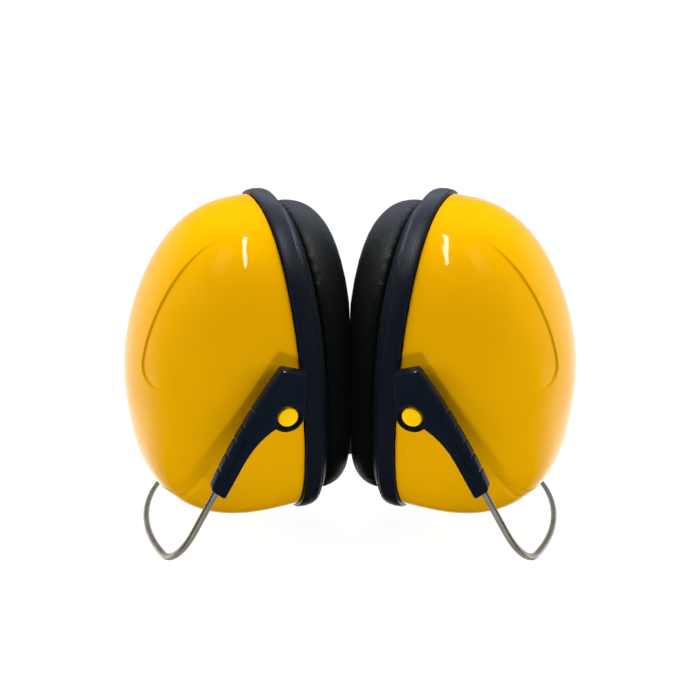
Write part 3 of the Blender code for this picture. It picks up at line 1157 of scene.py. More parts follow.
    def near_lines(self, places: np.ndarray, lines: Sequence[np.ndarray]) -> np.ndarray:
        """Whether each place lies close to one of some lines on the flanks.

        Args:
            places: places of the world, one row each.
            lines: each line's points in the cup's frame.

        Returns:
            True for each place that does.
        """
        folded = self.on_flank(places)
        close = np.zeros(len(folded), bool)
        for line in lines:
            for first in range(0, len(folded), self.batch):
                part = slice(first, first + self.batch)
                apart = folded[part][:, None, :] - line[None, :, :]
                close[part] |= (apart**2).sum(axis=2).min(axis=1) < self.line_reach**2
        return close

    def measure(
        self, places: np.ndarray, facing: np.ndarray, line: np.ndarray
    ) -> tuple[np.ndarray, np.ndarray]:
        """How far each place lies from a line on the surface, and how far along that line.

        Args:
            places: places in the cup's frame, one row each.
            facing: the directions that they face.
            line: points of the line.

        Returns:
            The distances, positive to the front of the line, and shares of the line's length.
        """
        headings = np.gradient(line, axis=0)
        headings /= np.linalg.norm(headings, axis=1, keepdims=True)
        gaps = np.empty(len(places))
        along = np.empty(len(places))
        for first in range(0, len(places), self.batch):
            part = slice(first, first + self.batch)
            apart = places[part][:, None, :] - line[None, :, :]
            nearest = np.argmin((apart**2).sum(axis=2), axis=1)
            offset = apart[np.arange(len(nearest)), nearest]
            heading = headings[nearest]
            slip = (offset * heading).sum(axis=1)
            across = np.cross(facing[part], heading)
            side = np.sign((offset * across).sum(axis=1))
            at_end = (nearest == 0) | (nearest == len(line) - 1)
            away = np.where(at_end[:, None], offset, offset - heading * slip[:, None])
            gaps[part] = side * np.linalg.norm(away, axis=1)
            along[part] = nearest / (len(line) - 1)
        return gaps, along

    def scoop(self, shell: Piece) -> None:
        """Press the leaf-shaped scoop and the chin line into both flanks of the shell.

        Args:
            shell: the smooth dome.
        """
        leaf, chin, ridge = [self.flank_curve(shell, knots) for knots in (LEAF, CHIN, RIDGE)]
        Bench.refine(shell, lambda middles: self.near_lines(middles, (leaf, chin)), self.line_cuts)
        places = Bench.points(shell)
        normals = Bench.normals(shell)
        folded = self.on_flank(places)
        facing = normals @ np.array(self.frame.inverted())[:3, :3].T
        behind = self.inside(places)[:, 1] > 0.0
        facing[:, 1] = np.where(behind, -facing[:, 1], facing[:, 1])
        middle = np.array([0.0, 0.0, -self.apex_drop])
        outwards = ((folded - middle) * facing).sum(axis=1) > 0.0
        gaps, _ = self.measure(folded, facing, leaf)
        from_start = np.linalg.norm(folded - leaf[0], axis=1)
        from_end = np.linalg.norm(folded - leaf[-1], axis=1)
        ends = smooth_step(from_start / self.scoop_start) * smooth_step(from_end / self.scoop_end)
        past, _ = self.measure(folded, facing, ridge)
        slope = np.clip(-past / self.scoop_slope, 0.0, 1.0)
        sink = self.scoop_depth * ends * smooth_step(gaps / self.scoop_edge) * slope
        gaps, along = self.measure(folded, facing, chin)
        groove = self.chin_depth * smooth_step(along / self.chin_start)
        groove = groove * smooth_step((1.0 - along) / self.chin_end)
        sink += groove * np.exp(-((gaps / self.chin_width) ** 2))
        Bench.move(shell, places + normals * (-sink * outwards)[:, None])

    def build_ring(self, name: str) -> Piece:
        """Black rim band, its outer face slightly crowned and its edges rounded.

        Args:
            name: the piece's name.

        Returns:
            The finished ring.
        """
        near = self.seat_gap
        far = near + self.ring_width
        edge = self.ring_edge
        bend = self.round_share * edge
        wall = self.ring_wall
        out = -self.overhang
        section = [
            (out + edge, near),
            (out + bend, near + bend),
            (out, near + edge),
            (out - self.ring_crown, near + self.ring_crown_at * self.ring_width),
            (out, far - 2.0 * self.ring_chamfer),
            (out + self.ring_chamfer, far),
            (wall - edge, far),
            (wall, far - edge),
            (wall, near + edge),
            (wall - edge, near),
        ]
        ring = Bench.loft(name, [self.rim_oval(inset, x) for inset, x in section], ring=True)
        Bench.bevel(ring, self.ring_bevel)
        Bench.shade(ring, degrees=35.0)
        return ring

    def build_plate(self, name: str) -> Piece:
        """Cushion's snap-in plate: a broad chamfer outside and a rolled lip round the ear's opening.

        Args:
            name: the piece's name.

        Returns:
            The finished plate.
        """
        near = self.seat_gap + self.ring_width + self.seam
        far = self.plate_start() + self.plate_thickness
        edge = self.ring_chamfer - self.overhang
        lip = self.plate_lip
        bend = self.round_share * lip
        rows = [self.rim_oval(edge + inset * MM, near + along * MM) for inset, along in PLATE_STEP]
        rows.append(self.rim_oval(self.plate_chamfer - self.plate_brow, far - self.plate_brow_drop))
        rows.append(self.rim_oval(self.plate_chamfer, far))
        roll = [(lip, far), (bend, far - bend), (0.0, far - lip)]
        roll += [(0.0, near + lip), (bend, near + bend), (lip, near)]
        for grow, x in roll:
            rows.append(self.oval(self.ear_half_height + grow, self.ear_half_width + grow, x))
        plate = Bench.loft(name, rows, ring=True)
        Bench.bevel(plate, self.plate_bevel)
        Bench.shade(plate, degrees=35.0)
        return plate

    def cushion_rows(self) -> list[Row]:
        """Sections of the slack cushion from its seam over the crown and into the ear's opening."""
        slack = self.cushion_slack
        start = self.cushion_start()
        outer = Vector((self.half_height - self.cushion_inset, self.half_width - self.cushion_inset))
        ear = Vector((self.ear_half_height, self.ear_half_width))
        back = self.frame.inverted()
        rows = []
        for rise, inward in CUSHION_SECTION:
            draw_in = Vector((1.0, 1.0)) * slack * (0.5 - inward)
            size = outer.lerp(ear, min(max(inward, 0.0), 1.0)) - draw_in
            if inward < 0.0:
                size += Vector((-inward, -inward)) * (outer.x - ear.x)
            row = []
            for place in self.oval(size.x, size.y, start):
                local = back @ place
                full = self.cushion_thickness + local.z * math.tan(self.cushion_lean)
                low = -self.heel_slope * local.z / self.half_height - self.heel_start
                full += self.cushion_heel * float(smooth_step(low))
                local.x += rise * (full - slack)
                row.append(self.frame @ local)
            rows.append(row)
        return rows

    def build_cushion(self, name: str) -> Piece:
        """Ear cushion: a sewn ring of padding, blown up by cloth simulation and drawn in at its seam.

        Args:
            name: the piece's name.

        Returns:
            The finished cushion.
        """
        cushion = Bench.loft(name, self.cushion_rows(), ring=True)
        self.inflate(cushion)
        Bench.apply(cushion, "SMOOTH", factor=0.5, iterations=6)
        Bench.subdivide(cushion, levels=1)
        self.pucker(cushion)
        Bench.shade(cushion, degrees=80.0)
        return cushion

    def inflate(self, cushion: Piece) -> None:
        """Blow the cushion up with its base held to the plate, as stuffing does.

        Args:
            cushion: the slack cover.
        """
        Bench.apply(cushion, "REMESH", mode="VOXEL", voxel_size=self.cushion_voxel)
        start = Bench.points(cushion)
        rise = self.inside(start)[:, 0] - self.cushion_start()
        held = cushion.vertex_groups.new(name="seam")
        held.add([int(i) for i in np.nonzero(rise < self.cushion_held)[0]], 1.0, "REPLACE")
        scene = bpy.context.scene
        scene.frame_set(1)
        cloth = cushion.modifiers.new("stuffing", "CLOTH")
        for setting, value in STUFFING.items():
            setattr(cloth.settings, setting, value)
        cloth.settings.vertex_group_mass = held.name
        cloth.settings.effector_weights.gravity = 0.0
        cloth.collision_settings.use_self_collision = False
        for step in range(1, STUFFING_STEPS + 1):
            scene.frame_set(step)
        Bench.pick(cushion)
        bpy.ops.object.modifier_apply(modifier=cloth.name)
        scene.frame_set(1)
        cushion.vertex_groups.clear()
        shift = Bench.points(cushion) - start
        length = np.linalg.norm(shift, axis=1, keepdims=True)
        shift *= np.minimum(1.0, self.cushion_swell / np.maximum(length, TINY))
        shift *= smooth_step(rise / self.cushion_fade)[:, None]
        Bench.move(cushion, start + shift)

    def pucker(self, cushion: Piece) -> None:
        """Fine gathers round the seam and the ear's opening, fading over the crown.

        Args:
            cushion: the full cushion.
        """
        places = Bench.points(cushion)
        local = self.inside(places)
        rise = (local[:, 0] - self.cushion_start()) / self.cushion_thickness
        around = np.arctan2(local[:, 1] / self.half_width, local[:, 2] / self.half_height)
        drift = self.drift_size * np.sin(around * self.drifts)
        fine = np.sin(around * self.fine_gathers + self.fine_start)
        wave = np.sin(around * self.gathers + drift) + self.fine_share * fine
        depth = self.pucker_depth * smooth_step(1.0 - rise / self.pucker_fade)
        Bench.move(cushion, places + Bench.normals(cushion) * (depth * wave)[:, None])

    def meet(self, cushion: Piece, side: Side) -> None:
        """Flatten a cushion where it bears on the other one, over a gentle swell that stops the light.

        Args:
            cushion: the full cushion.
            side: the side that it is on.
        """
        places = Bench.points(cushion)
        swell = self.meet_swell * np.sin(FULL_TURN * places[:, 1] / self.meet_period)
        towards = -side.way
        reach = places[:, 0] * towards
        over = reach - swell * towards + self.meet_gap
        eased = 0.5 * (over + np.sqrt(over**2 + self.meet_softness**2))
        places[:, 0] = towards * (reach - eased)
        Bench.move(cushion, places)

    def build_foam(self, name: str) -> Piece:
        """Foam pad in the back of the dome, its face softly rolled at the edge and gently uneven.

        Args:
            name: the piece's name.

        Returns:
            The finished pad.
        """
        inset = self.wall + self.foam_gap
        first = math.asin(self.foam_face / self.depth)
        steps = [(QUARTER_TURN - first) * k / self.foam_levels for k in range(self.foam_levels)]
        shares = [math.sin(first + step) for step in steps]
        face = self.dome(shares[0], inset)
        middle = sum(face, Vector()) / len(face)
        inwards = (self.frame.to_3x3() @ Vector((1.0, 0.0, 0.0))).normalized()
        rolls = [(share, self.foam_dip) for share in FOAM_LOOPS]
        rolls.append((self.foam_roll_share, self.foam_roll))
        rows = [[middle.lerp(corner, share) - inwards * dip for corner in face] for share, dip in rolls]
        rows += [self.dome(share, inset) for share in shares[1:]]
        foam = Bench.loft(name, rows, middle - inwards * self.foam_dip, self.apex(inset))
        Bench.subdivide(foam, levels=1)
        places = Bench.points(foam)
        local = self.inside(places)
        on_face = smooth_step((local[:, 0] + self.foam_face + self.dent_start) / self.dent_ramp)
        dents = np.sin(local[:, 1] / self.dent_across)
        dents = dents * np.sin(local[:, 2] / self.dent_up + self.dent_shift)
        sink = self.foam_dent * on_face * (1.0 + dents)
        Bench.move(foam, places - np.array(inwards)[None, :] * sink[:, None])
        Bench.shade(foam, degrees=70.0)
        return foam


@dataclass
class Arm:
    """One arm beside a cup, with its bore for the wire and its seat for the pivot button."""

    cup: Cup
    pivot_out: float = 6.2 * MM
    pivot_up: float = 3.5 * MM
    leg_angle: float = math.radians(32.0)
    leg_offset: float = 8.0 * MM
    gap: float = 0.5 * MM
    thickness: float = 4.4 * MM
    mouth: float = 30.6 * MM
    mouth_slant: float = 0.7 * MM
    top: float = 12.9 * MM
    top_rise: float = 1.3 * MM
    top_out: float = 0.6 * MM
    top_in: float = 1.3 * MM
    limb_in: float = 2.9 * MM
    limb_out: float = 2.2 * MM
    bow: float = 3.8 * MM
    bow_down: float = 10.0 * MM
    bow_steps: int = 110
    waist: float = 19.0 * MM
    waist_pull: float = 5.7 * MM
    waist_angle: float = math.radians(-18.5)
    waist_steps: int = 12
    waist_marks: Span = (0.35, 0.7)
    hub_radius: float = 5.0 * MM
    hub_steps: int = 32
    heel_angle: float = math.radians(116.0)
    corner: float = 1.2 * MM
    corner_steps: int = 5
    mouth_corner: float = 0.8 * MM
    mouth_steps: int = 4
    face_edge: float = 0.6 * MM
    outer_edge: float = 2.2 * MM
    corner_edge: float = 0.9 * MM
    mouth_edge: float = 0.6 * MM
    back_edge: float = 0.5 * MM
    edge_steps: int = 5
    edge_blend: int = 16
    seat_radius: float = 4.0 * MM
    seat_depth: float = 0.7 * MM
    seat_step: float = 0.3 * MM
    seat_brow: float = 0.25 * MM
    seat_sides: int = 48
    hole_radius: float = 3.3 * MM
    pin_radius: float = 3.0 * MM
    pin_crown: float = 0.45 * MM
    pin_edge: float = 0.45 * MM
    pin_edge_steps: int = 4
    pin_crown_steps: int = 6
    pin_sides: int = 40
    spigot_radius: float = 1.9 * MM
    spigot_length: float = 5.0 * MM
    shoulder: float = 1.0 * MM
    wire_radius: float = 1.05 * MM
    wire_end: float = 6.0 * MM
    slide_travel: float = 8.0 * MM
    running_gap: float = 0.3 * MM
    flare: float = 0.45 * MM
    flare_start: float = 1.4 * MM
    bore_sides: int = 24
    past_mouth: float = 2.0 * MM
    notch_start: float = 2.7 * MM
    notch_pitch: float = 5.2 * MM
    notch_depth: float = 0.32 * MM
    notch_width: float = 0.30 * MM
    notch_count: int = 5

    def point(self, s: float, t: float) -> Span:
        """(x, z) in the cup of a point s down the leg and t towards the rim from the pivot."""
        out = self.pivot_out + s * math.sin(self.leg_angle) - t * math.cos(self.leg_angle)
        up = self.pivot_up - s * math.cos(self.leg_angle) - t * math.sin(self.leg_angle)
        return -out, up

    def inner_face(self) -> float:
        """Distance from the cup's middle plane to the arm's inner face."""
        return self.cup.half_width + self.cup.overhang + self.gap

    def leg(self, s: float, place: Place) -> Vector:
        """A point of the wire's leg, in the world.

        Args:
            s: how far down the leg.
            place: the arm's place.

        Returns:
            The point.
        """
        x, z = self.point(s, -self.leg_offset)
        middle = self.inner_face() + 0.5 * self.thickness
        return self.cup.frame @ Vector((x, place.value * middle, z))

    def notches(self, s: float) -> float:
        """How deep the size marks cut into the outer edge at one place down the leg."""
        places = [self.notch_start + self.notch_pitch * k for k in range(self.notch_count)]
        cuts = [math.exp(-(((s - place) / self.notch_width) ** 2)) for place in places]
        return self.notch_depth * sum(cuts)

    def outline(self) -> list[tuple[Vector, float]]:
        """The arm's face outline: (s, t) points, each with how round its outer edge is."""
        limb_in = self.limb_in - self.leg_offset
        waist_end = Vector((self.waist, limb_in))
        hub_start = self.hub_radius * Vector((math.cos(self.waist_angle), math.sin(self.waist_angle)))
        waist_pull = Vector((hub_start.x + self.waist_pull, limb_in))
        mouth_in = Vector((self.mouth + self.mouth_slant, limb_in))
        mouth_out = Vector((self.mouth - self.mouth_slant, -self.limb_out - self.leg_offset))
        top_out = Vector((-self.top, -self.top_out - self.leg_offset))
        top_in = Vector((-self.top - self.top_rise, -self.top_in))
        bow = Vector((self.bow_down, -self.bow - self.leg_offset))
        hub = (Vector((0.0, 0.0)), self.hub_radius, self.waist_angle, self.heel_angle)
        mouth_round = (self.mouth_corner, self.mouth_steps)
        top_round = (self.corner, self.corner_steps)
        inner = rounded(mouth_in, mouth_out, waist_end, *mouth_round)
        inner += [inner[-1].lerp(waist_end, share) for share in self.waist_marks]
        inner += pulled_curve(waist_end, waist_pull, hub_start, self.waist_steps)
        inner += arc(*hub, self.hub_steps)[1:]
        inner += rounded(top_in, inner[-1], top_out, *top_round)
        outer = rounded(top_out, top_in, bow, *top_round)
        mouth = rounded(mouth_out, bow, mouth_in, *mouth_round)
        points = [(point, self.face_edge) for point in inner]
        points += [(point, self.corner_edge) for point in outer]
        for point in pulled_curve(outer[-1], bow, mouth[0], self.bow_steps)[1:-1]:
            points.append((point + Vector((0.0, self.notches(point.x))), self.outer_edge))
        points += [(point, self.mouth_edge) for point in mouth]
        return points

    def build(self, name: str, place: Place) -> Piece:
        """The arm as a plate with rounded edges, bored for its wire and seated for its button.

        Args:
            name: the piece's name.
            place: the arm's place.

        Returns:
            The finished arm.
        """
        points = self.outline()
        count = len(points)
        area = sum(a[0].cross(b[0]) for a, b in zip(points, points[1:] + points[:1]))
        turn_in = -1.0 if area > 0.0 else 1.0
        inwards = []
        for i in range(count):
            along = (points[(i + 1) % count][0] - points[i - 1][0]).normalized()
            inwards.append(turn_in * Vector((along.y, -along.x)))
        widths = [width for _, width in points]
        for _ in range(self.edge_blend):
            trios = zip(widths[-1:] + widths[:-1], widths, widths[1:] + widths[:1])
            widths = [sum(trio) / 3.0 for trio in trios]
        low = self.inner_face()
        face = low + self.thickness
        turns = [QUARTER_TURN * k / self.edge_steps for k in range(self.edge_steps + 1)]
        rows = []
        for turn in turns[:0:-2]:
            insets = [self.back_edge * (1.0 - math.cos(turn))] * count
            heights = [low + self.back_edge * (1.0 - math.sin(turn))] * count
            rows.append(self.row(points, inwards, insets, heights, place))
        for turn in turns:
            insets = [width * (1.0 - math.cos(turn)) for width in widths]
            heights = [face - width * (1.0 - math.sin(turn)) for width in widths]
            rows.append(self.row(points, inwards, insets, heights, place))
        arm = Bench.loft(name, rows)
        self.bore(arm, place)
        Bench.shade(arm, degrees=32.0)
        return arm

    def row(
        self,
        points: list[tuple[Vector, float]],
        inwards: Row,
        insets: list[float],
        heights: list[float],
        place: Place,
    ) -> Row:
        """One loop of the arm's edge.

        Args:
            points: the arm's outline.
            inwards: the way into the arm at each point.
            insets: how far each point is drawn in.
            heights: each point's distance from the cup's middle plane.
            place: the arm's place.

        Returns:
            The loop's corners, in the world.
        """
        made = []
        for (point, _), way, inset, height in zip(points, inwards, insets, heights):
            x, z = self.point(*(point + way * inset))
            made.append(self.cup.frame @ Vector((x, place.value * height, z)))
        return made

    def pin_rows(self, profile: Sequence[Span], place: Place, sides: int) -> list[Row]:
        """Circles about the pivot.

        Args:
            profile: each circle's radius and distance from the cup's middle plane.
            place: the arm's place.
            sides: corners in a circle.

        Returns:
            One row of corners for each circle.
        """
        rows = []
        for radius, height in profile:
            row = []
            for k in range(sides):
                angle = FULL_TURN * k / sides
                x = -self.pivot_out + radius * math.cos(angle)
                z = self.pivot_up + radius * math.sin(angle)
                row.append(self.cup.frame @ Vector((x, place.value * height, z)))
            rows.append(row)
        return rows

    def bore(self, arm: Piece, place: Place) -> None:
        """Cut the button's seat and hole and the wire's blind bore.

        Args:
            arm: the plain arm.
            place: its place.
        """
        low = self.inner_face()
        face = low + self.thickness
        floor = face - self.seat_depth
        seat = [
            (self.hole_radius, low - self.shoulder),
            (self.hole_radius, floor - self.seat_step),
            (self.hole_radius + self.seat_step, floor),
            (self.seat_radius, floor),
            (self.seat_radius, face - self.seat_brow),
            (self.seat_radius + 2.0 * self.seat_brow, face + self.seat_brow),
        ]
        Bench.carve(arm, Bench.loft("seat_cutter", self.pin_rows(seat, place, self.seat_sides)))
        blind_end = self.wire_end - self.slide_travel - self.running_gap
        mouth = self.mouth + self.mouth_slant
        wide = self.wire_radius + self.running_gap
        straight = [self.leg(s, place) for s in (blind_end, mouth - self.flare_start)]
        opening = [self.leg(s, place) for s in (mouth, mouth + self.past_mouth)]
        rows = tube_rows(straight, wide, self.bore_sides)
        rows += tube_rows(opening, wide + self.flare, self.bore_sides)
        Bench.carve(arm, Bench.loft("bore_cutter", rows))

    def build_pin(self, name: str, place: Place) -> Piece:
        """Pivot button: a pin from the shell's wall with a softly domed end.

        Args:
            name: the piece's name.
            place: its arm's place.

        Returns:
            The finished pin.
        """
        shoulder = self.cup.half_width - self.shoulder
        tip = self.inner_face() + self.thickness
        edge = self.pin_edge
        flat = self.pin_radius - edge
        profile = [
            (self.spigot_radius, shoulder - self.spigot_length),
            (self.spigot_radius, shoulder),
            (self.pin_radius, shoulder + self.shoulder),
            (self.pin_radius, tip - edge),
        ]
        for k in range(1, self.pin_edge_steps):
            turn = QUARTER_TURN * k / self.pin_edge_steps
            drop = edge * (1.0 - math.sin(turn))
            profile.append((self.pin_radius - edge * (1.0 - math.cos(turn)), tip - drop))
        for k in range(self.pin_crown_steps):
            share = 1.0 - k / self.pin_crown_steps
            profile.append((flat * share, tip + self.pin_crown * (1.0 - share**2)))
        reach = place.value * (tip + self.pin_crown)
        crown = self.cup.frame @ Vector((-self.pivot_out, reach, self.pivot_up))
        pin = Bench.loft(name, self.pin_rows(profile, place, self.pin_sides), None, crown)
        Bench.shade(pin, degrees=40.0)
        return pin


@dataclass
class Neckband:
    """The sleeve behind the neck and the spring wires that run from it to the arms."""

    arm: Arm
    shift: Vector
    bend_radius: float = 20.0 * MM
    rear_leg_end: float = 44.0 * MM
    rear_bend_pull: float = 20.0 * MM
    rear_run_pull: float = 24.0 * MM
    band_radius: float = 78.0 * MM
    band_centre: float = 50.0 * MM
    half_span: float = math.radians(50.0)
    height: float = 20.0 * MM
    thickness: float = 7.0 * MM
    corner: float = 2.0 * MM
    corner_steps: int = 6
    least_corner: float = 0.4 * MM
    flat_shares: Spot = (0.25, 0.5, 0.75)
    end_roll: float = 1.4 * MM
    roll_steps: int = 5
    wire_edge: float = 5.0 * MM
    wire_tip: float = 0.3 * MM
    wire_tip_share: float = 0.7
    seat_gap: float = 0.3 * MM
    bend_length: float = 34.0 * MM
    tuck: float = math.radians(0.8)
    tuck_steps: int = 2
    core_inset: float = math.radians(2.0)
    bore_degrees: tuple[float, ...] = (4.0, 2.0, 0.0, -2.0, -4.0, -6.0)
    bore_sides: int = 20
    touch_tries: int = 8
    leg_steps: int = 20
    bend_steps: int = 28
    run_steps: int = 40
    turn_steps: int = 16
    sweep_steps: int = 48
    sleeve_steps: int = 64
    sides: int = 18

    def wire_height(self, place: Place) -> float:
        """How high a wire runs in the sleeve."""
        return self.wire_edge if place is Place.FRONT else self.height - self.wire_edge

    def band(self, angle: float, z: float, out: float = 0.0) -> Vector:
        """A point of the band.

        Args:
            angle: the angle from the middle of the back to the left.
            z: its height.
            out: how far it lies outside the band's middle line.

        Returns:
            The point, in the world.
        """
        reach = self.band_radius + out
        flat = Vector((-reach * math.sin(angle), self.band_centre + reach * math.cos(angle), z))
        return flat + self.shift

    def end_angle(self) -> float:
        """Where a side's wires leave the sleeve."""
        return self.half_span + self.seat_gap / self.band_radius

    def into_sleeve(self, path: Row, z: float) -> Row:
        """A wire's path carried on a little way into the sleeve."""
        angles = [self.end_angle() - self.tuck * k for k in range(1, self.tuck_steps + 1)]
        return path + [self.band(angle, z) for angle in angles]

    def front_path(self) -> Row:
        """From the front arm down its leg, round the bend on the table and back to the sleeve."""
        radius = self.arm.wire_radius
        top = self.arm.leg(self.arm.wire_end, Place.FRONT) - self.shift
        down = (self.arm.leg(self.arm.mouth, Place.FRONT) - self.shift - top).normalized()
        corner = top + down * ((top.z - radius) / -down.z)
        touch = corner
        for _ in range(self.touch_tries):
            turn = 2.0 * math.atan2(touch.x + self.band_radius, self.band_centre - touch.y)
            leave = Vector((-math.sin(turn), math.cos(turn), 0.0))
            touch = corner + leave * (self.bend_radius * math.tan(0.5 * down.angle(leave)))
        half = 0.5 * down.angle(leave)
        setback = self.bend_radius * math.tan(half)
        centre = corner + (leave - down).normalized() * (self.bend_radius / math.cos(half))
        first = corner - down * setback - centre
        last = corner + leave * setback - centre
        shares = [k / self.bend_steps for k in range(self.bend_steps + 1)]
        bend = [centre + self.bend_radius * first.slerp(last, share) for share in shares]
        path = [top.lerp(bend[0], k / self.leg_steps) for k in range(self.leg_steps)] + bend
        lift_from = len(path) - 1
        sweep = (self.band_centre - touch.y) / math.sin(turn)
        for k in range(1, self.run_steps + 1):
            left = turn * (1.0 - k / self.run_steps)
            x = sweep * (1.0 - math.cos(left)) - self.band_radius
            path.append(Vector((x, self.band_centre - sweep * math.sin(left), radius)))
        for k in range(1, self.turn_steps + 1):
            angle = QUARTER_TURN + (self.end_angle() - QUARTER_TURN) * k / self.turn_steps
            path.append(self.band(angle, radius) - self.shift)
        lifts = len(path) - 1 - lift_from
        rise = self.wire_height(Place.FRONT) - radius
        for k in range(1, lifts + 1):
            share = k / lifts
            path[lift_from + k].z += rise * share * share * (3.0 - 2.0 * share)
        return self.into_sleeve([point + self.shift for point in path], self.wire_height(Place.FRONT))

    def rear_path(self) -> Row:
        """From the rear arm down its leg and in one sweep back to the sleeve."""
        top = self.arm.leg(self.arm.wire_end, Place.REAR)
        leave = self.arm.leg(self.rear_leg_end, Place.REAR)
        down = (leave - top).normalized()
        high = self.wire_height(Place.REAR)
        arrive = self.band(self.end_angle(), high)
        along = Vector((math.cos(self.end_angle()), math.sin(self.end_angle()), 0.0))
        pull_out = leave + down * self.rear_bend_pull
        pull_in = arrive - along * self.rear_run_pull
        path = [top.lerp(leave, k / self.leg_steps) for k in range(self.leg_steps)]
        for k in range(self.sweep_steps + 1):
            share = k / self.sweep_steps
            outward = leave.lerp(pull_out, share).lerp(pull_out.lerp(pull_in, share), share)
            inward = pull_out.lerp(pull_in, share).lerp(pull_in.lerp(arrive, share), share)
            path.append(outward.lerp(inward, share))
        return self.into_sleeve(path, high)

    def build_wire(self, name: str, path: Row) -> Piece:
        """A spring wire along a path, its cut end slightly rounded.

        Args:
            name: the piece's name.
            path: the wire's path, from its cut end.

        Returns:
            The finished wire.
        """
        rows = tube_rows(path, self.arm.wire_radius, self.sides)
        edge = (path[1] - path[0]).normalized() * self.wire_tip
        rows.insert(0, [path[0].lerp(corner, self.wire_tip_share) for corner in rows[0]])
        rows[1] = [corner + edge for corner in rows[1]]
        wire = Bench.loft(name, rows)
        Bench.shade(wire, degrees=50.0)
        return wire

    def section(self, draw_in: float) -> list[Span]:
        """The sleeve's rounded section.

        Args:
            draw_in: how far it is drawn in all round.

        Returns:
            Its (out, up) points.
        """
        half = 0.5 * self.thickness - draw_in
        low = draw_in
        high = self.height - draw_in
        corners = [Vector(c) for c in ((half, low), (half, high), (-half, high), (-half, low))]
        radius = max(self.corner - 0.5 * draw_in, self.least_corner)
        points = []
        for i, corner in enumerate(corners):
            after = corners[(i + 1) % 4]
            turn = rounded(corner, corners[i - 1], after, radius, self.corner_steps)
            points += [(p.x, p.y) for p in turn]
            beyond = corners[(i + 2) % 4]
            following = rounded(after, corner, beyond, radius, self.corner_steps)[0]
            points += [tuple(turn[-1].lerp(following, share)) for share in self.flat_shares]
        return points

    def build_sleeve(self, name: str) -> Piece:
        """Soft sleeve round the back of the neck, with rolled ends and a bore for each wire.

        Args:
            name: the piece's name.

        Returns:
            The finished sleeve.
        """
        ends = []
        for k in range(self.roll_steps + 1):
            turn = QUARTER_TURN * k / self.roll_steps
            angle = self.half_span - self.end_roll * (1.0 - math.cos(turn)) / self.band_radius
            ends.append((angle, self.end_roll * (1.0 - math.sin(turn))))
        inner = ends[-1][0]
        steps = self.sleeve_steps
        middle = [(inner * (1.0 - 2.0 * k / steps), 0.0) for k in range(1, steps)]
        spots = ends + middle + [(-angle, draw) for angle, draw in reversed(ends)]
        rows = [[self.band(angle, up, out) for out, up in self.section(draw)] for angle, draw in spots]
        sleeve = Bench.loft(name, rows)
        bore = self.arm.wire_radius + self.seat_gap
        for place in Place:
            for way in (1.0, -1.0):
                z = self.wire_height(place)
                spans = [self.half_span + math.radians(past) for past in self.bore_degrees]
                path = [self.band(way * span, z) for span in spans]
                rows = tube_rows(path, bore, self.bore_sides)
                Bench.carve(sleeve, Bench.loft("bore_cutter", rows))
        Bench.shade(sleeve, degrees=45.0)
        return sleeve

    def build_core(self, name: str, place: Place) -> Piece:
        """The middle stretch of a wire, inside the sleeve.

        Args:
            name: the piece's name.
            place: the arms that the wire runs to.

        Returns:
            The finished stretch.
        """
        span = self.half_span - self.core_inset
        steps = self.sweep_steps
        z = self.wire_height(place)
        path = [self.band(span * (1.0 - 2.0 * k / steps), z) for k in range(steps + 1)]
        core = Bench.loft(name, tube_rows(path, self.arm.wire_radius, self.sides))
        Bench.shade(core, degrees=50.0)
        return core


@dataclass(frozen=True)
class Lamp:
    """A soft box that faces a point: it lights every piece, or only glints on some."""

    name: str
    place: Spot
    aim: Spot
    size: Span
    watts: float
    glints_on: tuple[str, ...] = ()
    colour: Colour = (1.0, 1.0, 1.0)

    def hang(self) -> None:
        """Put the lamp into the scene, out of the camera's sight."""
        light = bpy.data.lights.new(self.name, "AREA")
        light.shape = "RECTANGLE"
        light.size, light.size_y = self.size
        light.energy = self.watts
        light.color = self.colour
        lamp = bpy.data.objects.new(self.name, light)
        bpy.context.scene.collection.objects.link(lamp)
        lamp.location = self.place
        towards = Vector(self.aim) - Vector(self.place)
        lamp.rotation_euler = towards.to_track_quat("-Z", "Y").to_euler()
        lamp.visible_camera = False
        lamp.visible_glossy = bool(self.glints_on)
        if self.glints_on:
            lamp.visible_diffuse = False
            self.pick_pieces(lamp)

    def pick_pieces(self, lamp: Piece) -> None:
        """Let the lamp glint only on the pieces whose names start as its list says.

        Args:
            lamp: the lamp's object.
        """
        chosen = bpy.data.collections.new(f"{self.name}_pieces")
        for piece in bpy.data.objects:
            if piece.name.endswith("_skin") and piece.name.startswith(self.glints_on):
                chosen.objects.link(piece)
        lamp.light_linking.receiver_collection = chosen


def both(*pieces: str) -> tuple[str, ...]:
    """The names of pieces on both sides."""
    return tuple(f"{side.value}_{piece}" for side in Side for piece in pieces)


RIMS = both("cup_ring", "cushion_plate", "ear_cushion")
PLATES = both("cushion_plate")
ARMS = both("front_arm", "rear_arm")
WIRES = ("neckband",) + both("front_wire", "rear_wire")


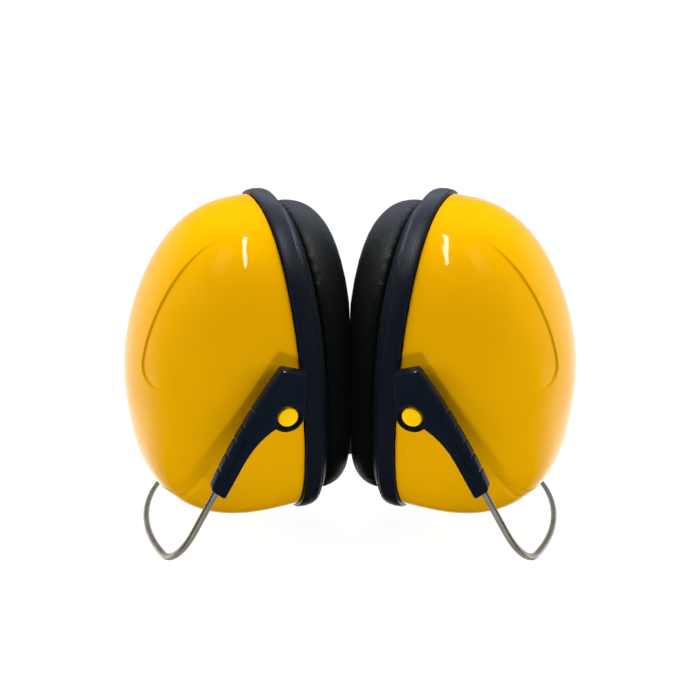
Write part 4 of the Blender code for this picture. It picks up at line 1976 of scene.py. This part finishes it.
@dataclass(frozen=True)
class Studio:
    """White table, light tent, soft boxes and the photograph's camera."""

    lens: float = 45.26
    sensor: float = 36.0
    near_clip: float = 0.01
    camera_place: Spot = (0.0, -0.33829, 0.09299)
    camera_tilt: float = math.radians(84.4)
    half_floor: float = 3.0
    floor_cuts: int = 8
    paper_grain: float = 60.0 * MM
    paper_deep: Colour = (0.10, 0.10, 0.10)
    paper_pale: Colour = (0.11, 0.11, 0.11)
    # The table's glow near the pieces, below the glow of 1.0 far off: a painted shade round them
    floor_glow: float = 0.95
    floor_span: Span = (0.10, 0.34)
    backdrop_glow: float = 1.05
    front_glow: float = 0.02
    band_glow: float = 1.6
    back_span: Span = (-0.10, 0.35)
    rise_span: Span = (-0.35, 0.60)
    rise_glow: Span = (1.0, 0.03)
    under_span: Span = (-0.62, -0.40)
    side_watts: float = 4.4
    over_watts: float = 6.1
    bounce_watts: float = 0.030
    table_watts: float = 2.45
    sheen_watts: float = 1.4
    crown_watts: float = 1.1
    edge_watts: float = 20.0
    plate_watts: float = 24.0
    rim_watts: float = 3.6
    steel_watts: float = 4.0
    strip_watts: float = 1.25
    glint_watts: float = 0.28
    glint_layers: tuple[float, ...] = (0.25, 0.4, 0.55, 0.7, 0.8, 0.9, 1.0)

    def build_floor(self) -> None:
        """A white table top whose own glow, painted light, lifts the shadows; the tent stands for its
        bounced light.
        """
        Bench.clear()
        bpy.ops.mesh.primitive_plane_add(size=2.0 * self.half_floor, location=(0.0, 0.0, 0.0))
        floor = bpy.context.object
        floor.name = "white_table"
        Bench.edit_all(floor)
        bpy.ops.mesh.subdivide(number_cuts=self.floor_cuts)
        bpy.ops.object.mode_set(mode="OBJECT")
        nodes = Nodes("white_table")
        paper = nodes.noise(self.paper_grain, 2.0)
        nodes.finish(
            Base_Color=nodes.tint(paper, self.paper_deep, self.paper_pale),
            Roughness=0.9,
            Specular_IOR_Level=0.1,
            Emission_Color=(1.0, 1.0, 1.0, 1.0),
            Emission_Strength=self.table_light(nodes),
        )
        floor.data.materials.append(nodes.material)
        self.hide_from_light(floor)

    def table_light(self, nodes: Nodes) -> Socket:
        """The table's own glow: white far off, and a shade less round the pieces, a painted shade that
        lets the cast shadows show.

        Args:
            nodes: the table's material.

        Returns:
            The glow.
        """
        reach = nodes.tree.nodes.new("ShaderNodeVectorMath")
        reach.operation = "LENGTH"
        nodes.feed(reach.inputs[0], nodes.place)
        # painted shade: the glow is lower near the pieces than far off
        glow = (self.floor_glow, 1.0)
        return self.ramp(nodes.tree, reach.outputs["Value"], self.floor_span, glow)

    def build_backdrop(self) -> None:
        """A white dome far behind everything, so that every side shows a white ground."""
        Bench.clear()
        bpy.ops.mesh.primitive_uv_sphere_add(segments=48, ring_count=24, radius=self.half_floor)
        dome = bpy.context.object
        dome.name = "white_backdrop"
        nodes = Nodes("white_backdrop")
        nodes.finish(
            Base_Color=(0.0, 0.0, 0.0, 1.0),
            Specular_IOR_Level=0.0,
            Emission_Color=(1.0, 1.0, 1.0, 1.0),
            Emission_Strength=self.backdrop_glow,
        )
        dome.data.materials.append(nodes.material)
        self.hide_from_light(dome)

    @staticmethod
    def hide_from_light(piece: Piece) -> None:
        """Let only the camera see a piece of the stage, so that the tent alone lights the object.

        Args:
            piece: the piece of the stage.
        """
        piece.visible_diffuse = False
        piece.visible_glossy = False
        piece.visible_shadow = False

    def lamps(self) -> list[Lamp]:
        """Soft boxes that light the pieces, and lamps that only glint on some of them."""
        aim = (0.0, -0.06, 0.07)
        cool = (0.75, 0.82, 1.0)
        honey = (1.0, 0.95, 0.30)
        hung = [
            Lamp("over_box", (0.0, -0.01, 0.67), aim, (0.6, 0.3), self.over_watts),
            Lamp("table_bounce", (0.002, -0.157, 0.012), aim, (0.010, 0.010), self.bounce_watts),
            Lamp("table_glow", (0.0, -0.08, -0.35), aim, (0.9, 0.9), self.table_watts),
            Lamp("sheen_box", (0.0, 0.30, 0.55), aim, (0.7, 0.4), self.sheen_watts, RIMS, cool),
            Lamp("crown_box", (0.0, -0.02, 0.68), aim, (0.6, 0.35), self.crown_watts, RIMS, cool),
            Lamp("plate_box", (0.0, -0.03, 0.68), aim, (1.1, 0.14), self.plate_watts, PLATES, cool),
            Lamp("edge_box", (0.0, -0.25, 0.60), aim, (0.5, 0.5), self.edge_watts, ARMS),
            Lamp("steel_box", (0.0, -0.75, -0.05), aim, (1.8, 1.0), self.steel_watts, WIRES),
            Lamp("steel_floor", (0.0, -0.10, -0.55), aim, (1.6, 1.2), self.steel_watts, WIRES),
        ]
        strips = {Side.LEFT: (-0.101, -0.315, 0.559), Side.RIGHT: (0.041, -0.300, 0.569)}
        for side, strip in strips.items():
            word = side.value
            way = side.way
            below = (strip[0], -0.08, 0.095)
            on_ring = (f"{word}_cup_ring",)
            on_cup = (f"{word}_cup_shell", f"{word}_front_arm") + RIMS
            rim = (-way * 0.52, 0.18, 0.66)
            soft = (way * 0.62, -0.29, 0.19)
            glint = (way * 0.297, -0.329, 0.493)
            hung.append(Lamp(f"{word}_rim_box", rim, aim, (0.25, 0.18), self.rim_watts, on_ring, cool))
            hung.append(Lamp(f"{word}_soft_box", soft, aim, (0.5, 0.5), self.side_watts))
            hung.append(Lamp(f"{word}_strip", strip, below, (0.028, 0.335), self.strip_watts, on_cup))
            for share in self.glint_layers:
                watts = self.glint_watts * share**2
                size = (0.17 * share, 0.26 * share)
                hung.append(Lamp(f"{word}_glint_{share}", glint, below, size, watts, on_cup, honey))
        return hung

    def light(self) -> None:
        """Hang the lamps in a tent whose sides and back glow low down, as a white table does."""
        for lamp in self.lamps():
            lamp.hang()
        world = bpy.data.worlds.new("light_tent")
        world.use_nodes = True
        tree = world.node_tree
        way = tree.nodes.new("ShaderNodeSeparateXYZ")
        tree.links.new(tree.nodes.new("ShaderNodeTexCoord").outputs["Generated"], way.inputs["Vector"])
        glow = self.ramp(tree, way.outputs["Y"], self.back_span, (self.front_glow, self.band_glow))
        for span, share in ((self.rise_span, self.rise_glow), (self.under_span, (0.0, 1.0))):
            node = tree.nodes.new("ShaderNodeMath")
            node.operation = "MULTIPLY"
            tree.links.new(glow, node.inputs[0])
            tree.links.new(self.ramp(tree, way.outputs["Z"], span, share), node.inputs[1])
            glow = node.outputs["Value"]
        ground = tree.nodes["Background"]
        ground.inputs["Color"].default_value = (1.0, 1.0, 1.0, 1.0)
        tree.links.new(glow, ground.inputs["Strength"])
        bpy.context.scene.world = world

    @staticmethod
    def ramp(tree: bpy.types.NodeTree, value: Socket, span: Span, glow: Span) -> Socket:
        """An even change of glow over a span of directions or distances.

        Args:
            tree: the node tree.
            value: the direction or distance.
            span: where the change starts and ends.
            glow: the glow at its start and end.

        Returns:
            The glow.
        """
        node = tree.nodes.new("ShaderNodeMapRange")
        tree.links.new(value, node.inputs["Value"])
        node.inputs["From Min"].default_value, node.inputs["From Max"].default_value = span
        node.inputs["To Min"].default_value, node.inputs["To Max"].default_value = glow
        return node.outputs["Result"]

    def build_camera(self) -> None:
        """The camera at the photograph's angle."""
        lens = bpy.data.cameras.new("photo_camera")
        lens.lens = self.lens
        lens.sensor_width = self.sensor
        lens.clip_start = self.near_clip
        camera = bpy.data.objects.new("photo_camera", lens)
        bpy.context.scene.collection.objects.link(camera)
        camera.location = self.camera_place
        camera.rotation_euler = (self.camera_tilt, 0.0, 0.0)
        bpy.context.scene.camera = camera
        bpy.context.scene.view_settings.view_transform = "Standard"


def joint_place(frame: dict[str, Any], name: str) -> Vector:
    """Where the record puts a joint."""
    return Vector(next(joint["pos_m"] for joint in frame["joints"] if joint["name"] == name))


def both_sides(left: Piece, piece: str, finish: Finish, slot: Slot, body: str) -> dict[Side, Piece]:
    """Copy a left piece to the right and dress both.

    Args:
        left: the finished left piece.
        piece: the node's name without its side.
        finish: the finish of both.
        slot: the record's slot for that finish.
        body: the body's name without its side.

    Returns:
        Both pieces by side.
    """
    pair = {Side.LEFT: left, Side.RIGHT: Bench.mirror(left, f"right_{piece}_skin")}
    for side, made in pair.items():
        Bench.pick(made)
        show(made, finish, slot, f"{side.value}_{body}", f"{side.value}_{piece}")
    return pair


def build_cups(cup: Cup, arm: Arm) -> None:
    """Both cups with their cushions, arms and buttons.

    Args:
        cup: the left cup.
        arm: the left cup's arms.
    """
    shell = cup.build_shell("left_cup_shell_skin")
    both_sides(shell, "cup_shell", YELLOW, Slot.SHELL, "cup")
    ring = cup.build_ring("left_cup_ring_skin")
    both_sides(ring, "cup_ring", RING_BLACK, Slot.RING, "cup")
    plate = cup.build_plate("left_cushion_plate_skin")
    both_sides(plate, "cushion_plate", PLATE_BLACK, Slot.PLATE, "cup")
    foam = cup.build_foam("left_foam_insert_skin")
    for pad in both_sides(foam, "foam_insert", DARK_FOAM, Slot.FOAM, "cup").values():
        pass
    cushion = cup.build_cushion("left_ear_cushion_skin")
    pads = both_sides(cushion, "ear_cushion", CUSHION_COVER, Slot.CUSHION, "cup")
    for side, pad in pads.items():
        cup.meet(pad, side)
        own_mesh(pad)
    for place in Place:
        limb = arm.build(f"left_{place.word}_arm_skin", place)
        both_sides(limb, f"{place.word}_arm", ARM_BLACK, Slot.ARM, "arms")
        pin = arm.build_pin(f"left_{place.word}_pivot_pin_skin", place)
        both_sides(pin, f"{place.word}_pivot_pin", BUTTON_YELLOW, Slot.SHELL, "cup")


def build_band(band: Neckband) -> None:
    """The sleeve and the wires of both sides.

    Args:
        band: the neckband.
    """
    sleeve = band.build_sleeve("neckband_sleeve_skin")
    show(sleeve, SLEEVE_BLACK, Slot.SLEEVE, "neckband", "neckband_sleeve")
    for place, word in ((Place.FRONT, "low"), (Place.REAR, "high")):
        core = band.build_core(f"neckband_{word}_wire_skin", place)
        show(core, SPRING_STEEL, Slot.STEEL, "neckband", f"neckband_{word}_wire")
    for place, path in ((Place.FRONT, band.front_path()), (Place.REAR, band.rear_path())):
        left = band.build_wire(f"left_{place.word}_wire_skin", path)
        right = Bench.mirror(left, f"right_{place.word}_wire_skin")
        for side, wire in ((Side.LEFT, left), (Side.RIGHT, right)):
            show(wire, SPRING_STEEL, Slot.STEEL, None, f"{side.value}_{place.word}_wire")
            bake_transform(wire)


def corners(box: tuple[Any, Any]) -> list[list[float]]:
    """A box's two corners as plain lists."""
    return [[float(value) for value in corner] for corner in box]


def main() -> None:
    """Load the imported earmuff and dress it, piece by piece."""
    logging.basicConfig(level=logging.INFO, format="%(name)s %(message)s")
    for thing in list(bpy.data.objects):
        bpy.data.objects.remove(thing, do_unlink=True)
    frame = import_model()
    studio = Studio()
    studio.build_camera()
    studio.build_floor()
    studio.build_backdrop()
    pivot = joint_place(frame, "left_cup_tilt")
    cup = Cup(Stance().frame(pivot, Vector((-Arm.pivot_out, 0.0, Arm.pivot_up))))
    arm = Arm(cup)
    build_cups(cup, arm)
    sleeve_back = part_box("neckband_sleeve")[1].y
    reach = Neckband.band_centre + Neckband.band_radius + 0.5 * Neckband.thickness
    build_band(Neckband(arm, Vector((0.0, sleeve_back - reach, 0.0))))
    studio.light()


if __name__ == "__main__":
    main()
